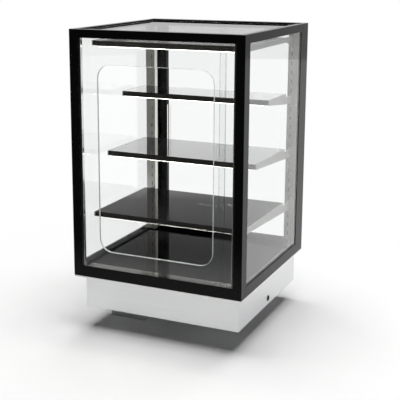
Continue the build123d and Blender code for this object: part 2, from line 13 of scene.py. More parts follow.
import bmesh
import bpy
import numpy as np
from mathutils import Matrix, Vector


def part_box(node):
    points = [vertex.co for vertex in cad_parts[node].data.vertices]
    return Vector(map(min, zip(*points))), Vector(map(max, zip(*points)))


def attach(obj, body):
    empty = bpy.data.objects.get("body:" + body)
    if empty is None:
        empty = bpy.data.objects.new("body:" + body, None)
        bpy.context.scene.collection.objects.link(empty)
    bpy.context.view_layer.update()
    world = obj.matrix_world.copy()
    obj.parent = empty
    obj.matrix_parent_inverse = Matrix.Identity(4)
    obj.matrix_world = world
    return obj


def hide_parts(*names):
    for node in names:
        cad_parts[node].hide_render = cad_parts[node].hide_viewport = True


logging.basicConfig(level=logging.INFO, format="%(message)s")
log = logging.getLogger("display_case")

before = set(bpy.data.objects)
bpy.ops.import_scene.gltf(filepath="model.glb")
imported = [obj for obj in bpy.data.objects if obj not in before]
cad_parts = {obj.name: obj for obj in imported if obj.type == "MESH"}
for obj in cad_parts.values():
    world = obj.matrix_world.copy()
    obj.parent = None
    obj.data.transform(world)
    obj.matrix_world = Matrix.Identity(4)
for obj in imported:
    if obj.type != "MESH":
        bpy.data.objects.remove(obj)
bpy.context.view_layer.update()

Colour = tuple[float, float, float]
Vector3 = tuple[float, float, float]
Value = bpy.types.NodeSocket | float | tuple[float, ...]
MM = 0.001
WHITE: Colour = (1.0, 1.0, 1.0)


# Shapes: surfaces worked out as whole arrays


class Axis(Enum):
    """The axis that an outline is carried along. Its value has the outline's two axes, then its own."""

    X = (1, 2, 0)
    Y = (0, 2, 1)
    Z = (0, 1, 2)

    def place(self, outline: np.ndarray, level: np.ndarray | float) -> np.ndarray:
        """Put an outline's two columns and a level on their three axes.

        Args:
            outline: Points of shape (..., 2).
            level: One level for all points, or one that broadcasts against them.

        Returns:
            Points of shape (..., 3).
        """
        points = np.empty(outline.shape[:-1] + (3,))
        points[..., self.value[0]] = outline[..., 0]
        points[..., self.value[1]] = outline[..., 1]
        points[..., self.value[2]] = level
        return points


@dataclass
class Box:
    """The lowest and highest corners of a node or of a place."""

    low: np.ndarray
    high: np.ndarray

    @classmethod
    def of(cls, node: str) -> "Box":
        """Read a CAD node's box at rest."""
        low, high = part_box(node)
        return cls(np.array(low), np.array(high))

    @property
    def middle(self) -> np.ndarray:
        """The box's centre."""
        return (self.low + self.high) / 2

    @property
    def size(self) -> np.ndarray:
        """The box's three side lengths."""
        return self.high - self.low

    def grown(self, by: float) -> "Box":
        """The box with every side moved out by a distance."""
        return Box(self.low - by, self.high + by)

    def outline(self, axis: Axis, radius: float, steps: int = 5) -> np.ndarray:
        """The rounded rectangle that the box shows along an axis."""
        a, b, _ = axis.value
        return rounded_rectangle((self.low[a], self.high[a]), (self.low[b], self.high[b]), radius, steps)


@dataclass
class Shell:
    """A mesh in arrays: its points, its faces, and each face's material number."""

    points: np.ndarray
    faces: list[tuple[int, ...]]
    materials: np.ndarray

    @classmethod
    def joined(cls, shells: Sequence["Shell"]) -> "Shell":
        """Put several shells in one mesh.

        Args:
            shells: The shells.

        Returns:
            One shell, in their order.
        """
        starts = np.cumsum([0] + [len(shell.points) for shell in shells[:-1]])
        faces = [tuple(int(start) + corner for corner in face)
                 for start, shell in zip(starts, shells) for face in shell.faces]
        return cls(np.concatenate([shell.points for shell in shells]), faces,
                   np.concatenate([shell.materials for shell in shells]))

    def repeated(self, offsets: np.ndarray) -> "Shell":
        """Copy the shell to several places.

        Args:
            offsets: Shifts of shape (copies, 3).

        Returns:
            One shell with point (copy, i) = point i + shift of that copy.
        """
        offsets = np.asarray(offsets, float).reshape(-1, 3)
        points = (self.points[None] + offsets[:, None]).reshape(-1, 3)
        faces = [tuple(corner + copy * len(self.points) for corner in face)
                 for copy in range(len(offsets)) for face in self.faces]
        return Shell(points, faces, np.tile(self.materials, len(offsets)))

    def painted(self, number: int) -> "Shell":
        """The same shell with one material number on every face."""
        return Shell(self.points, self.faces, np.full(len(self.faces), number))


def rounded_rectangle(first: Sequence[float], second: Sequence[float], radius: float,
                      steps: int = 5) -> np.ndarray:
    """A rounded rectangle, counter-clockwise: each corner's centre + radius (cos a, sin a), where
    a turns a quarter turn per corner.

    Args:
        first: The limits on the outline's first axis.
        second: The limits on its second axis.
        radius: The corner radius.
        steps: Segments per corner.

    Returns:
        Points of shape (4 (steps + 1), 2).
    """
    (x0, x1), (y0, y1) = sorted(first), sorted(second)
    centres = np.array([(x1 - radius, y1 - radius), (x0 + radius, y1 - radius),
                        (x0 + radius, y0 + radius), (x1 - radius, y0 + radius)])
    angles = (np.arange(4)[:, None] + np.linspace(0, 1, steps + 1)[None]) * pi / 2
    ring = centres[:, None] + radius * np.stack((np.cos(angles), np.sin(angles)), axis=-1)
    return ring.reshape(-1, 2)


def circle(centre: Sequence[float], radius: float, steps: int = 32) -> np.ndarray:
    """A circle: centre + radius (cos a, sin a), a from 0 to a full turn in equal steps."""
    angles = np.arange(steps) * 2 * pi / steps
    return np.asarray(centre) + radius * np.stack((np.cos(angles), np.sin(angles)), axis=-1)


def dome(radius: float, height: float, level: float, flat: float, points: int) -> np.ndarray:
    """A dome's profile: (radius cos a, level + height sin a) for a from 0 to pi / 2 - flat.

    Args:
        radius: The radius at its foot.
        height: How high the full dome would rise.
        level: The level of its foot.
        flat: How far before a quarter turn the angle stops, which leaves a small flat on top.
        points: How many points the profile has.

    Returns:
        Pairs of shape (points, 2).
    """
    angles = np.linspace(0, pi / 2 - flat, points)
    return np.stack((radius * np.cos(angles), level + height * np.sin(angles)), axis=-1)


def grid_of(first: Sequence[float], second: Sequence[float], axis: Axis) -> np.ndarray:
    """Every pair of places on an outline's two axes, as shifts with 0 on the third."""
    return axis.place(np.stack(np.meshgrid(first, second), axis=-1).reshape(-1, 2), 0.0)


def inset(outline: np.ndarray, distance: float) -> np.ndarray:
    """Move a counter-clockwise outline inwards: each point less (n + m) / (1 + n.m) times the
    distance, where n and m are the outward normals of the two edges that meet there. The divisor
    is at least 0.2, so that a sharp corner doesn't fly off.

    Args:
        outline: Points of shape (n, 2).
        distance: How far each edge moves in. A negative distance moves it out.

    Returns:
        Points of shape (n, 2).
    """
    ahead = np.roll(outline, -1, axis=0) - outline
    ahead = ahead / np.maximum(np.linalg.norm(ahead, axis=1, keepdims=True), 1e-12)
    normal = np.stack((ahead[:, 1], -ahead[:, 0]), axis=-1)
    before = np.roll(normal, 1, axis=0)
    bend = 1 + np.sum(normal * before, axis=1, keepdims=True)
    return outline - distance * (normal + before) / np.maximum(bend, 0.2)


def grid_faces(rows: int, columns: int, closed_rows: bool) -> np.ndarray:
    """The faces of a grid of closed rows: (i, j), (i, j+1), (i+1, j+1), (i+1, j).

    Args:
        rows: How many rows of points there are.
        columns: How many points are in a row.
        closed_rows: True where the last row joins the first.

    Returns:
        Point numbers of shape (faces, 4).
    """
    count = rows if closed_rows else rows - 1
    i, j = np.meshgrid(np.arange(count), np.arange(columns), indexing="ij")
    above, beside = (i + 1) % rows, (j + 1) % columns
    corners = (i * columns + j, i * columns + beside, above * columns + beside, above * columns + j)
    return np.stack(corners, axis=-1).reshape(-1, 4)


def loft(loops: np.ndarray, ring: bool = False) -> Shell:
    """The surface through a stack of closed loops, point (i, j) = loop i's point j.

    Args:
        loops: Points of shape (rows, columns, 3).
        ring: True joins the last loop to the first, and False closes both ends with a flat face.

    Returns:
        A closed shell.
    """
    rows, columns = loops.shape[:2]
    faces = [tuple(face) for face in grid_faces(rows, columns, ring).tolist()]
    if not ring:
        faces.append(tuple(range(columns))[::-1])
        faces.append(tuple(range((rows - 1) * columns, rows * columns)))
    return Shell(loops.reshape(-1, 3), faces, np.zeros(len(faces), int))


def edge_profile(low: float, high: float, radius: float,
                 steps: int = 3) -> tuple[np.ndarray, np.ndarray]:
    """A plate's rounded edge: level = low + r - r cos a and inset = r - r sin a for a from 0 to a
    quarter turn, then the same mirrored at the high side.

    Args:
        low: The lower level.
        high: The upper level.
        radius: The edge's radius r.
        steps: Segments per rounded edge.

    Returns:
        The levels and the insets, from the low face to the high face.
    """
    angles = np.linspace(0, pi / 2, steps + 1)
    rise = radius * (1 - np.cos(angles))
    back = radius * (1 - np.sin(angles))
    return np.concatenate((low + rise, high - rise[::-1])), np.concatenate((back, back[::-1]))


def plate(outline: np.ndarray, axis: Axis, low: float, high: float, radius: float,
          steps: int = 3) -> Shell:
    """A solid plate or bar with rounded edges: its outline, inset along the edge profile.

    Args:
        outline: A counter-clockwise outline of shape (n, 2).
        axis: The axis that the outline is carried along.
        low: The lower level on that axis.
        high: The upper level.
        radius: The radius of the long edges.
        steps: Segments per rounded edge.

    Returns:
        A closed shell.
    """
    levels, insets = edge_profile(low, high, radius, steps)
    loops = [axis.place(inset(outline, back), level) for level, back in zip(levels, insets)]
    return loft(np.stack(loops))


def ring_plate(outer: np.ndarray, inner: np.ndarray, axis: Axis, low: float, high: float,
               radius: float, steps: int = 3) -> Shell:
    """A plate with a hole: the edge profile goes up the outer outline and down the inner one, and
    closes on itself.

    Args:
        outer: A counter-clockwise outline of shape (n, 2).
        inner: The hole's outline, with as many points.
        axis: The axis that the outlines are carried along.
        low: The lower level on that axis.
        high: The upper level.
        radius: The radius of the long edges.
        steps: Segments per rounded edge.

    Returns:
        A closed shell. Its faces round the rims have material number 1, and its flat ones 0.
    """
    levels, insets = edge_profile(low, high, radius, steps)
    rows = [axis.place(inset(outer, back), level) for level, back in zip(levels, insets)]
    rows += [axis.place(inset(inner, -back), level) for level, back in zip(levels[::-1], insets[::-1])]
    shell = loft(np.stack(rows), ring=True)
    row = np.arange(len(shell.faces)) // len(outer)
    flat = np.isin(row, (len(levels) - 1, 2 * len(levels) - 1))
    shell.materials = np.where(flat, 0, 1)
    return shell


def box_shell(low: Sequence[float], high: Sequence[float], radius: float, axis: Axis = Axis.Z,
              corner: float | None = None) -> Shell:
    """A bar between two corners with rounded edges.

    Args:
        low: Its lowest corner.
        high: Its highest corner.
        radius: The radius of the edges at its two ends.
        axis: The axis that it is carried along.
        corner: The radius of its corners, or None for the same as its edges.

    Returns:
        A closed shell.
    """
    place = Box(np.asarray(low, float), np.asarray(high, float))
    level = axis.value[2]
    outline = place.outline(axis, radius if corner is None else corner, 3)
    return plate(outline, axis, place.low[level], place.high[level], radius)


def turned(profile: np.ndarray, axis: Axis, centre: Sequence[float], steps: int = 48,
           ring: bool = False) -> Shell:
    """A turned piece: the profile's (radius, level) pairs carried round an axis, point =
    centre + radius (cos a, sin a) at that level.

    Args:
        profile: Pairs of shape (rows, 2).
        axis: The axis of turning.
        centre: The centre on the other two axes.
        steps: Segments round the axis.
        ring: True where the profile closes on itself, as on a ring.

    Returns:
        A closed shell.
    """
    loops = np.stack([axis.place(circle(centre, radius, steps), level) for radius, level in profile])
    return loft(loops, ring)


# Node groups: effects that several finishes share


class Graph:
    """A shader node tree in the making. An input takes a plain value or another node's output."""

    def __init__(self, tree: bpy.types.NodeTree) -> None:
        """Keep the tree that the nodes go into."""
        self.tree = tree

    def fill(self, socket: bpy.types.NodeSocket, value: Value) -> None:
        """Link a socket to an output, or set its plain value.

        Args:
            socket: The input.
            value: An output, a number, or a colour of three channels.
        """
        if isinstance(value, bpy.types.NodeSocket):
            self.tree.links.new(value, socket)
        elif socket.type == "RGBA":
            socket.default_value = (*value, 1.0)
        else:
            socket.default_value = value

    def node(self, kind: str, inputs: dict[str | int, Value] | None = None,
             **options: object) -> bpy.types.Node:
        """Make a node.

        Args:
            kind: Its type, without the leading ShaderNode.
            inputs: Its inputs, by name or by number.
            options: Its settings, by name.

        Returns:
            The node.
        """
        node = self.tree.nodes.new(f"ShaderNode{kind}")
        for name, value in options.items():
            setattr(node, name, value)
        for key, value in (inputs or {}).items():
            self.fill(node.inputs[key], value)
        return node

    def math(self, operation: str, *values: Value) -> bpy.types.NodeSocket:
        """The result of a maths node on its operands."""
        return self.node("Math", dict(enumerate(values)), operation=operation).outputs[0]

    def vector(self, operation: str, *values: Value) -> bpy.types.Node:
        """A vector maths node on its operands."""
        return self.node("VectorMath", dict(enumerate(values)), operation=operation)

    def place(self, output: str = "Object") -> bpy.types.NodeSocket:
        """One of the surface point's coordinates."""
        return self.node("TexCoord").outputs[output]

    def split(self, vector: bpy.types.NodeSocket) -> Sequence[bpy.types.NodeSocket]:
        """A vector's x, y and z."""
        return self.node("SeparateXYZ", {0: vector}).outputs

    def noise(self, vector: Value, scale: Value, detail: float = 2.0, rough: float = 0.5,
              distortion: float = 0.0) -> bpy.types.NodeSocket:
        """A noise's value.

        Args:
            vector: The coordinates.
            scale: How often it repeats per metre.
            detail: Octaves of finer noise.
            rough: How much each octave adds.
            distortion: How far it is warped.

        Returns:
            The value, from 0 to 1.
        """
        inputs = {"Vector": vector, "Scale": scale, "Detail": detail, "Roughness": rough,
                  "Distortion": distortion}
        return self.node("TexNoise", inputs).outputs["Fac"]

    def remap(self, value: Value, start: Value, end: Value, low: float = 0.0, high: float = 1.0,
              smooth: bool = False) -> bpy.types.NodeSocket:
        """Carry start..end over to low..high.

        Args:
            value: The value.
            start: Where the result is low.
            end: Where the result is high.
            low: The result at the start.
            high: The result at the end.
            smooth: True eases both ends.

        Returns:
            The result.
        """
        inputs = {"Value": value, "From Min": start, "From Max": end, "To Min": low, "To Max": high}
        kind = "SMOOTHSTEP" if smooth else "LINEAR"
        return self.node("MapRange", inputs, interpolation_type=kind).outputs["Result"]

    def blend(self, mask: Value, first: Value, second: Value) -> bpy.types.NodeSocket:
        """Mix two colours.

        Args:
            mask: 0 for the first and 1 for the second.
            first: A colour.
            second: Another.

        Returns:
            The mixed colour.
        """
        mix = self.node("Mix", data_type="RGBA")
        for number, value in ((0, mask), (6, first), (7, second)):
            self.fill(mix.inputs[number], value)
        return mix.outputs[2]

    def between(self, mask: Value, first: Value, second: Value) -> bpy.types.NodeSocket:
        """The first number where the mask is 0, and the second where it is 1."""
        return self.node("Mix", {0: mask, 2: first, 3: second}).outputs[0]

    def choose(self, mask: Value, first: bpy.types.NodeSocket,
               second: bpy.types.NodeSocket) -> bpy.types.NodeSocket:
        """The first shader where the mask is 0, and the second where it is 1."""
        return self.node("MixShader", {0: mask, 1: first, 2: second}).outputs[0]


class GroupGraph(Graph):
    """A node group in the making."""

    def __init__(self, name: str, **inputs: float | Vector3) -> None:
        """Make an empty group.

        Args:
            name: The group's name.
            inputs: Each input's default, by name.
        """
        super().__init__(bpy.data.node_groups.new(name, "ShaderNodeTree"))
        for label, value in inputs.items():
            kind = "NodeSocketVector" if isinstance(value, tuple) else "NodeSocketFloat"
            socket = self.tree.interface.new_socket(name=label, in_out="INPUT", socket_type=kind)
            socket.default_value = value
        self.inputs = self.tree.nodes.new("NodeGroupInput").outputs

    def publish(self, **outputs: bpy.types.NodeSocket) -> bpy.types.NodeTree:
        """Give the group its outputs.

        Args:
            outputs: Each output's source, by name.

        Returns:
            The finished group.
        """
        for label in outputs:
            self.tree.interface.new_socket(name=label, in_out="OUTPUT", socket_type="NodeSocketFloat")
        sink = self.tree.nodes.new("NodeGroupOutput")
        for label, source in outputs.items():
            self.fill(sink.inputs[label], source)
        return self.tree


class Effects:
    """The shared shader node groups. Each puts out only masks and values."""

    def __init__(self) -> None:
        """Build every group once."""
        self.powder = self._powder()
        self.grain = self._grain()
        self.marks = self._marks()
        self.dust = self._dust()
        self.edges = self._edges()

    @staticmethod
    def _powder() -> bpy.types.NodeTree:
        """Powder-coat texture: height = 0.6 smooth cells + fine noise, and a wide noise as shade.

        Returns:
            The group.
        """
        group = GroupGraph("powder_coat", Scale=900.0)
        place, scale = group.place(), group.inputs["Scale"]
        cells = group.node("TexVoronoi", {"Vector": place, "Scale": scale}, feature="SMOOTH_F1")
        height = group.math("MULTIPLY_ADD", cells.outputs["Distance"], 0.6, group.noise(place, scale, 3.0))
        return group.publish(Height=height, Shade=group.noise(place, 9.0))

    @staticmethod
    def _grain() -> bpy.types.NodeTree:
        """Brushed or drawn grain: noise on coordinates squeezed across the brushing.

        Returns:
            The group.
        """
        group = GroupGraph("metal_grain", Scale=60.0, Stretch=(1.0, 1.0, 40.0))
        drawn = group.vector("MULTIPLY", group.place(), group.inputs["Stretch"]).outputs[0]
        return group.publish(Height=group.noise(drawn, group.inputs["Scale"], 4.0, 0.7),
                             Shade=group.noise(drawn, 4.0))

    @staticmethod
    def _marks() -> bpy.types.NodeTree:
        """Finger and wiping marks: a warped noise, kept where it is above 0.85 less the cover.

        Returns:
            The group.
        """
        group = GroupGraph("wiping_marks", Scale=14.0, Cover=0.4)
        noise = group.noise(group.place(), group.inputs["Scale"], 5.0, 0.6, 0.8)
        start = group.math("SUBTRACT", 0.85, group.inputs["Cover"])
        return group.publish(Mask=group.remap(noise, start, 0.85, smooth=True))

    @staticmethod
    def _dust() -> bpy.types.NodeTree:
        """Settled dust: amount times noise times how far the normal points up.

        Returns:
            The group.
        """
        group = GroupGraph("settled_dust", Scale=120.0, Amount=0.1)
        noise = group.noise(group.place(), group.inputs["Scale"], 4.0, 0.7)
        up = group.math("MAXIMUM", group.split(group.place("Normal"))["Z"], 0.0)
        speck = group.math("MULTIPLY", up, noise)
        return group.publish(Mask=group.math("MULTIPLY", speck, group.inputs["Amount"]))

    @staticmethod
    def _edges() -> bpy.types.NodeTree:
        """Wear along edges, lighter there partly as a painted highlight: how far the true normal's cosine
        with a rounded one falls below 1, times a noise, times the amount.

        Returns:
            The group.
        """
        group = GroupGraph("edge_wear", Width=0.0012, Amount=0.5)
        rounded = group.node("Bevel", {"Radius": group.inputs["Width"]}, samples=4)
        true = group.node("NewGeometry")
        cosine = group.vector("DOT_PRODUCT", rounded.outputs["Normal"], true.outputs["Normal"])
        bend = group.remap(cosine.outputs["Value"], 0.995, 0.9)
        broken = group.math("MULTIPLY", bend, group.noise(group.place(), 70.0, 4.0, 0.65))
        return group.publish(Mask=group.math("MULTIPLY", broken, group.inputs["Amount"]))


# Finishes


class Texture(Enum):
    """Which shared effect gives a finish its fine relief."""

    POWDER = "powder"
    GRAIN = "grain"


class MaterialGraph(Graph):
    """A material in the making, around its Principled shader."""

    def __init__(self, name: str) -> None:
        """Start a material.

        Args:
            name: The material's name.
        """
        self.material = bpy.data.materials.new(name)
        self.material.use_nodes = True
        super().__init__(self.material.node_tree)
        self.shader = self.tree.nodes["Principled BSDF"]
        self.surface = self.tree.nodes["Material Output"].inputs["Surface"]

    def set(self, **inputs: Value) -> None:
        """Fill the Principled shader's inputs, with _ for each space in a name."""
        for label, value in inputs.items():
            self.fill(self.shader.inputs[label.replace("_", " ")], value)

    def effect(self, tree: bpy.types.NodeTree,
               **values: float | Vector3) -> bpy.types.bpy_prop_collection:
        """The outputs of a shared group, with its inputs set by name."""
        return self.node("Group", values, node_tree=tree).outputs

    def marked_roughness(self, marks: Value, ends: tuple[float, float]) -> None:
        """Carry the marks' mask over to the roughness, from clean to marked."""
        self.set(Roughness=self.remap(marks, 0.0, 1.0, *ends))


@dataclass(frozen=True)
class SolidFinish:
    """A paint, plastic, enamel or metal finish, from the shared effects."""

    name: str
    colour: Colour
    second_colour: Colour
    roughness: tuple[float, float]
    metallic: float = 0.0
    ior: float = 1.45
    texture: Texture = Texture.POWDER
    scale: float = 900.0
    stretch: Vector3 = (1.0, 1.0, 40.0)
    relief: float = 0.05
    relief_depth: float = 0.0004
    marks: float = 0.25
    dust: float = 0.04
    dust_colour: Colour = (0.62, 0.60, 0.57)
    wear: float = 0.0
    wear_colour: Colour = (0.30, 0.30, 0.30)

    def build(self, effects: Effects) -> bpy.types.Material:
        """Make the material: the two colours mixed by the effect's shade, lightened by dust, lightened at
        the edges by wear that is partly a painted highlight, and roughness raised by wiping marks.

        Args:
            effects: The shared groups.

        Returns:
            The material.
        """
        graph = MaterialGraph(self.name)
        if self.texture is Texture.POWDER:
            relief = graph.effect(effects.powder, Scale=self.scale)
        else:
            relief = graph.effect(effects.grain, Scale=self.scale, Stretch=self.stretch)
        base = graph.blend(relief["Shade"], self.colour, self.second_colour)
        dust = graph.effect(effects.dust, Amount=self.dust)
        base = graph.blend(dust["Mask"], base, self.dust_colour)
        # Lighter edges: partly edge wear, partly a painted highlight along the edges.
        if self.wear:
            wear = graph.effect(effects.edges, Amount=self.wear)
            base = graph.blend(wear["Mask"], base, self.wear_colour)
        bump = graph.node("Bump", {"Strength": self.relief, "Distance": self.relief_depth,
                                   "Height": relief["Height"]})
        graph.set(Base_Color=base, Metallic=self.metallic, IOR=self.ior, Normal=bump.outputs["Normal"])
        graph.marked_roughness(graph.effect(effects.marks, Cover=self.marks)["Mask"], self.roughness)
        return graph.material


@dataclass(frozen=True)
class GlassFinish:
    """Clear float glass, or its ground and polished edges. Lamps shine through it."""

    name: str
    colour: Colour
    transmission: float = 1.0
    ior: float = 1.38
    roughness: tuple[float, float] = (0.0, 0.003)
    marks_scale: float = 9.0
    marks: float = 0.22
    marked: float = 0.985
    shadow: float = 0.96

    def build(self, effects: Effects) -> bpy.types.Material:
        """Make the material: a transmitting shader, with a transparent one for shadow rays.

        Args:
            effects: The shared groups.

        Returns:
            The material.
        """
        graph = MaterialGraph(self.name)
        marks = graph.effect(effects.marks, Scale=self.marks_scale, Cover=self.marks)["Mask"]
        dulled = tuple(self.marked * channel for channel in self.colour)
        graph.set(Transmission_Weight=self.transmission, IOR=self.ior,
                  Base_Color=graph.blend(marks, self.colour, dulled))
        graph.marked_roughness(marks, self.roughness)
        clear = graph.node("BsdfTransparent",
                           {"Color": tuple(self.shadow * channel for channel in self.colour)})
        rays = graph.node("LightPath")
        graph.fill(graph.surface, graph.choose(rays.outputs["Is Shadow Ray"],
                                               graph.shader.outputs["BSDF"], clear.outputs["BSDF"]))
        return graph.material


@dataclass(frozen=True)
class LampFinish:
    """A lit diffuser: opal plastic over a row of light sources."""

    name: str
    colour: Colour
    strength: float
    pitch: float = 0.0125
    between: float = 0.86
    plastic: Colour = (0.85, 0.84, 0.8)
    roughness: tuple[float, float] = (0.35, 0.5)

    def build(self, effects: Effects) -> bpy.types.Material:
        """Make the material: emission that rises over each light source, as cos(2 pi x / pitch).

        Args:
            effects: The shared groups.

        Returns:
            The material.
        """
        graph = MaterialGraph(self.name)
        x = graph.split(graph.place())["X"]
        wave = graph.math("COSINE", graph.math("MULTIPLY", x, 2 * pi / self.pitch))
        dim = tuple(self.between * channel for channel in self.colour)
        glow = graph.blend(graph.remap(wave, -1.0, 1.0), dim, self.colour)
        graph.set(Emission_Color=glow, Emission_Strength=self.strength, Base_Color=self.plastic)
        marks = graph.effect(effects.marks, Scale=40.0, Cover=0.3)["Mask"]
        graph.marked_roughness(marks, self.roughness)
        return graph.material


ALONG_X, ALONG_Y, ALONG_Z = (1.0, 40.0, 40.0), (40.0, 1.0, 40.0), (40.0, 40.0, 1.0)


def metal(name: str, colour: Colour, second_colour: Colour, roughness: tuple[float, float],
          **rest: float | Vector3) -> SolidFinish:
    """A bare metal with drawn grain. The rest are SolidFinish's other fields."""
    return SolidFinish(name, colour, second_colour, roughness, metallic=1.0,
                       texture=Texture.GRAIN, **rest)


FINISHES = (
    # A lighter wear colour paints the edges lighter: partly wear, partly a painted highlight along the
    # edges.
    SolidFinish("frame_black", (0.0024, 0.0024, 0.0026), (0.0034, 0.0033, 0.0034), (0.07, 0.16),
                ior=1.20, relief=0.02, wear=0.25, wear_colour=(0.02, 0.02, 0.02), dust=0.008),
    metal("bead_light", (0.82, 0.83, 0.82), (0.76, 0.77, 0.76), (0.16, 0.26), stretch=ALONG_Z,
          relief=0.03),
    GlassFinish("clear_glass", (0.975, 0.985, 0.98)),
    GlassFinish("glass_edge", (0.90, 0.95, 0.93), transmission=0.4, roughness=(0.10, 0.20),
                marks_scale=60.0),
    metal("tub_steel", (0.76, 0.765, 0.77), (0.71, 0.715, 0.72), (0.30, 0.40), scale=40.0,
          stretch=ALONG_X, wear=0.2, wear_colour=(0.85, 0.85, 0.85)),
    metal("rim_steel", (0.72, 0.72, 0.71), (0.66, 0.66, 0.65), (0.20, 0.30), stretch=ALONG_X,
          relief=0.04),
    SolidFinish("grommet_black", (0.012, 0.012, 0.012), (0.018, 0.018, 0.018), (0.45, 0.6), relief=0.08,
                relief_depth=0.0003),
    SolidFinish("black_glass", (0.010, 0.010, 0.011), (0.014, 0.014, 0.015), (0.01, 0.04), ior=1.42,
                scale=25.0, relief=0.005, marks=0.3, dust=0.012),
    SolidFinish("tray_black", (0.013, 0.012, 0.010), (0.022, 0.020, 0.017), (0.18, 0.30),
                relief=0.008, wear=0.3, dust=0.02, wear_colour=(0.08, 0.075, 0.07)),
    SolidFinish("bracket_grey", (0.34, 0.34, 0.335), (0.30, 0.30, 0.295), (0.30, 0.42),
                wear=0.3, wear_colour=(0.72, 0.72, 0.71)),
    LampFinish("lamp_white", (1.0, 0.95, 0.86), 18.0),
    metal("polished_steel", (0.93, 0.91, 0.87), (0.88, 0.86, 0.82), (0.10, 0.18), stretch=ALONG_Z,
          relief=0.02, marks=0.3),
    metal("upright_steel", (0.94, 0.92, 0.87), (0.89, 0.87, 0.81), (0.30, 0.40), stretch=ALONG_Z,
          relief=0.04, marks=0.3),
    SolidFinish("door_nylon", (0.09, 0.09, 0.088), (0.12, 0.118, 0.114), (0.42, 0.55),
                scale=500.0),
    GlassFinish("pull_clear", (0.985, 0.99, 0.985), ior=1.06, roughness=(0.0, 0.02), marks_scale=40.0),
    metal("channel_aluminium", (0.66, 0.665, 0.67), (0.60, 0.605, 0.61), (0.24, 0.34), stretch=ALONG_X,
          relief=0.06),
    metal("screw_steel", (0.62, 0.62, 0.61), (0.52, 0.52, 0.51), (0.22, 0.34), scale=300.0,
          stretch=(1.0, 1.0, 1.0)),
    metal("control_steel", (0.60, 0.605, 0.61), (0.53, 0.535, 0.54), (0.34, 0.46), scale=30.0,
          stretch=(3.0, 3.0, 3.0), relief=0.06, wear=0.25, wear_colour=(0.8, 0.8, 0.8)),
    SolidFinish("control_black", (0.018, 0.018, 0.019), (0.026, 0.026, 0.027), (0.38, 0.5), relief=0.06,
                scale=1200.0, wear=0.3, wear_colour=(0.08, 0.08, 0.08)),
    SolidFinish("rocker_black", (0.022, 0.022, 0.023), (0.03, 0.03, 0.031), (0.24, 0.36), relief=0.03,
                scale=1500.0),
    SolidFinish("thermostat_cream", (0.66, 0.62, 0.52), (0.58, 0.54, 0.45), (0.45, 0.6)),
    SolidFinish("terminal_white", (0.72, 0.71, 0.68), (0.64, 0.63, 0.6), (0.4, 0.52), relief=0.04),
    SolidFinish("fan_black", (0.016, 0.016, 0.017), (0.024, 0.024, 0.025), (0.4, 0.52), relief=0.06,
                dust=0.15),
    metal("element_steel", (0.34, 0.30, 0.27), (0.20, 0.15, 0.13), (0.36, 0.5), stretch=(2.0, 2.0, 2.0),
          scale=50.0, relief=0.08),
    metal("stand_steel", (0.58, 0.585, 0.59), (0.5, 0.505, 0.51), (0.34, 0.46), stretch=ALONG_Y,
          relief=0.06),
    metal("driver_aluminium", (0.56, 0.565, 0.57), (0.48, 0.485, 0.49), (0.4, 0.52), stretch=ALONG_X,
          relief=0.08),
    SolidFinish("seal_black", (0.010, 0.010, 0.010), (0.016, 0.016, 0.016), (0.5, 0.65)),
    SolidFinish("mark_white", (0.78, 0.78, 0.76), (0.70, 0.70, 0.68), (0.4, 0.5), relief=0.03,
                scale=1500.0),
)


@dataclass
class Paintbox:
    """The built materials, by finish name."""

    materials: dict[str, bpy.types.Material]

    @classmethod
    def mixed(cls) -> "Paintbox":
        """Build the shared effects and every finish."""
        effects = Effects()
        return cls({finish.name: finish.build(effects) for finish in FINISHES})

    def __getitem__(self, name: str) -> bpy.types.Material:
        """The material of that finish."""
        return self.materials[name]


# Pieces

GLASS = ("clear_glass", "glass_edge")
CREASE = radians(35)
BEND = radians(40)
TOUCHING = 0.01 * MM


@dataclass
class Assembly:
    """A sub-assembly of the case. It makes its own pieces and dresses its CAD nodes."""

    paint: Paintbox

    def piece(self, name: str, shell: Shell, finishes: str | tuple[str, ...], slot: str,
              *replaces: str, body: str = "case") -> None:
        """Put a shell into the scene as a piece that rides on a body.

        Args:
            name: The piece's name.
            shell: Its mesh in arrays.
            finishes: Its finish, or one for each of the shell's material numbers.
            slot: The record's material slot that its finish would come from. Not used.
            replaces: The CAD nodes that it stands for.
            body: The CAD body that it rides on.
        """
        mesh = bpy.data.meshes.new(name)
        mesh.from_pydata(shell.points.tolist(), [], shell.faces)
        for finish in (finishes,) if isinstance(finishes, str) else finishes:
            mesh.materials.append(self.paint[finish])
        mesh.polygons.foreach_set("material_index", shell.materials.astype(np.int32))
        work = bmesh.new()
        work.from_mesh(mesh)
        bmesh.ops.recalc_face_normals(work, faces=work.faces)
        work.to_mesh(mesh)
        work.free()
        mesh.polygons.foreach_set("use_smooth", np.ones(len(mesh.polygons), bool))
        mesh.set_sharp_from_angle(angle=CREASE)
        mesh.update()
        piece = bpy.data.objects.new(name, mesh)
        bpy.context.scene.collection.objects.link(piece)
        level = piece.modifiers.new("flat_faces_stay_flat", "WEIGHTED_NORMAL")
        level.weight = 100
        level.keep_sharp = True
        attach(piece, body)
        if replaces:
            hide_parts(*replaces)
        log.info("piece %s: %d faces", name, len(mesh.polygons))

    def dress(self, finish: str, edge: float, *nodes: str) -> None:
        """Give kept CAD nodes their finish, and round their sharp edges.

        Args:
            finish: The finish.
            edge: The width of the rounding, or 0 for none.
            nodes: The nodes' names.
        """
        for name in nodes:
            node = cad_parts[name]
            for slot in node.material_slots:
                slot.material = self.paint[finish]
            if edge:
                node.modifiers.new("weld", "WELD").merge_threshold = TOUCHING
                bevel = node.modifiers.new("edges", "BEVEL")
                bevel.width = edge
                bevel.segments = 2
                bevel.limit_method = "ANGLE"
                bevel.angle_limit = BEND
            log.info("node %s: %s", name, finish)


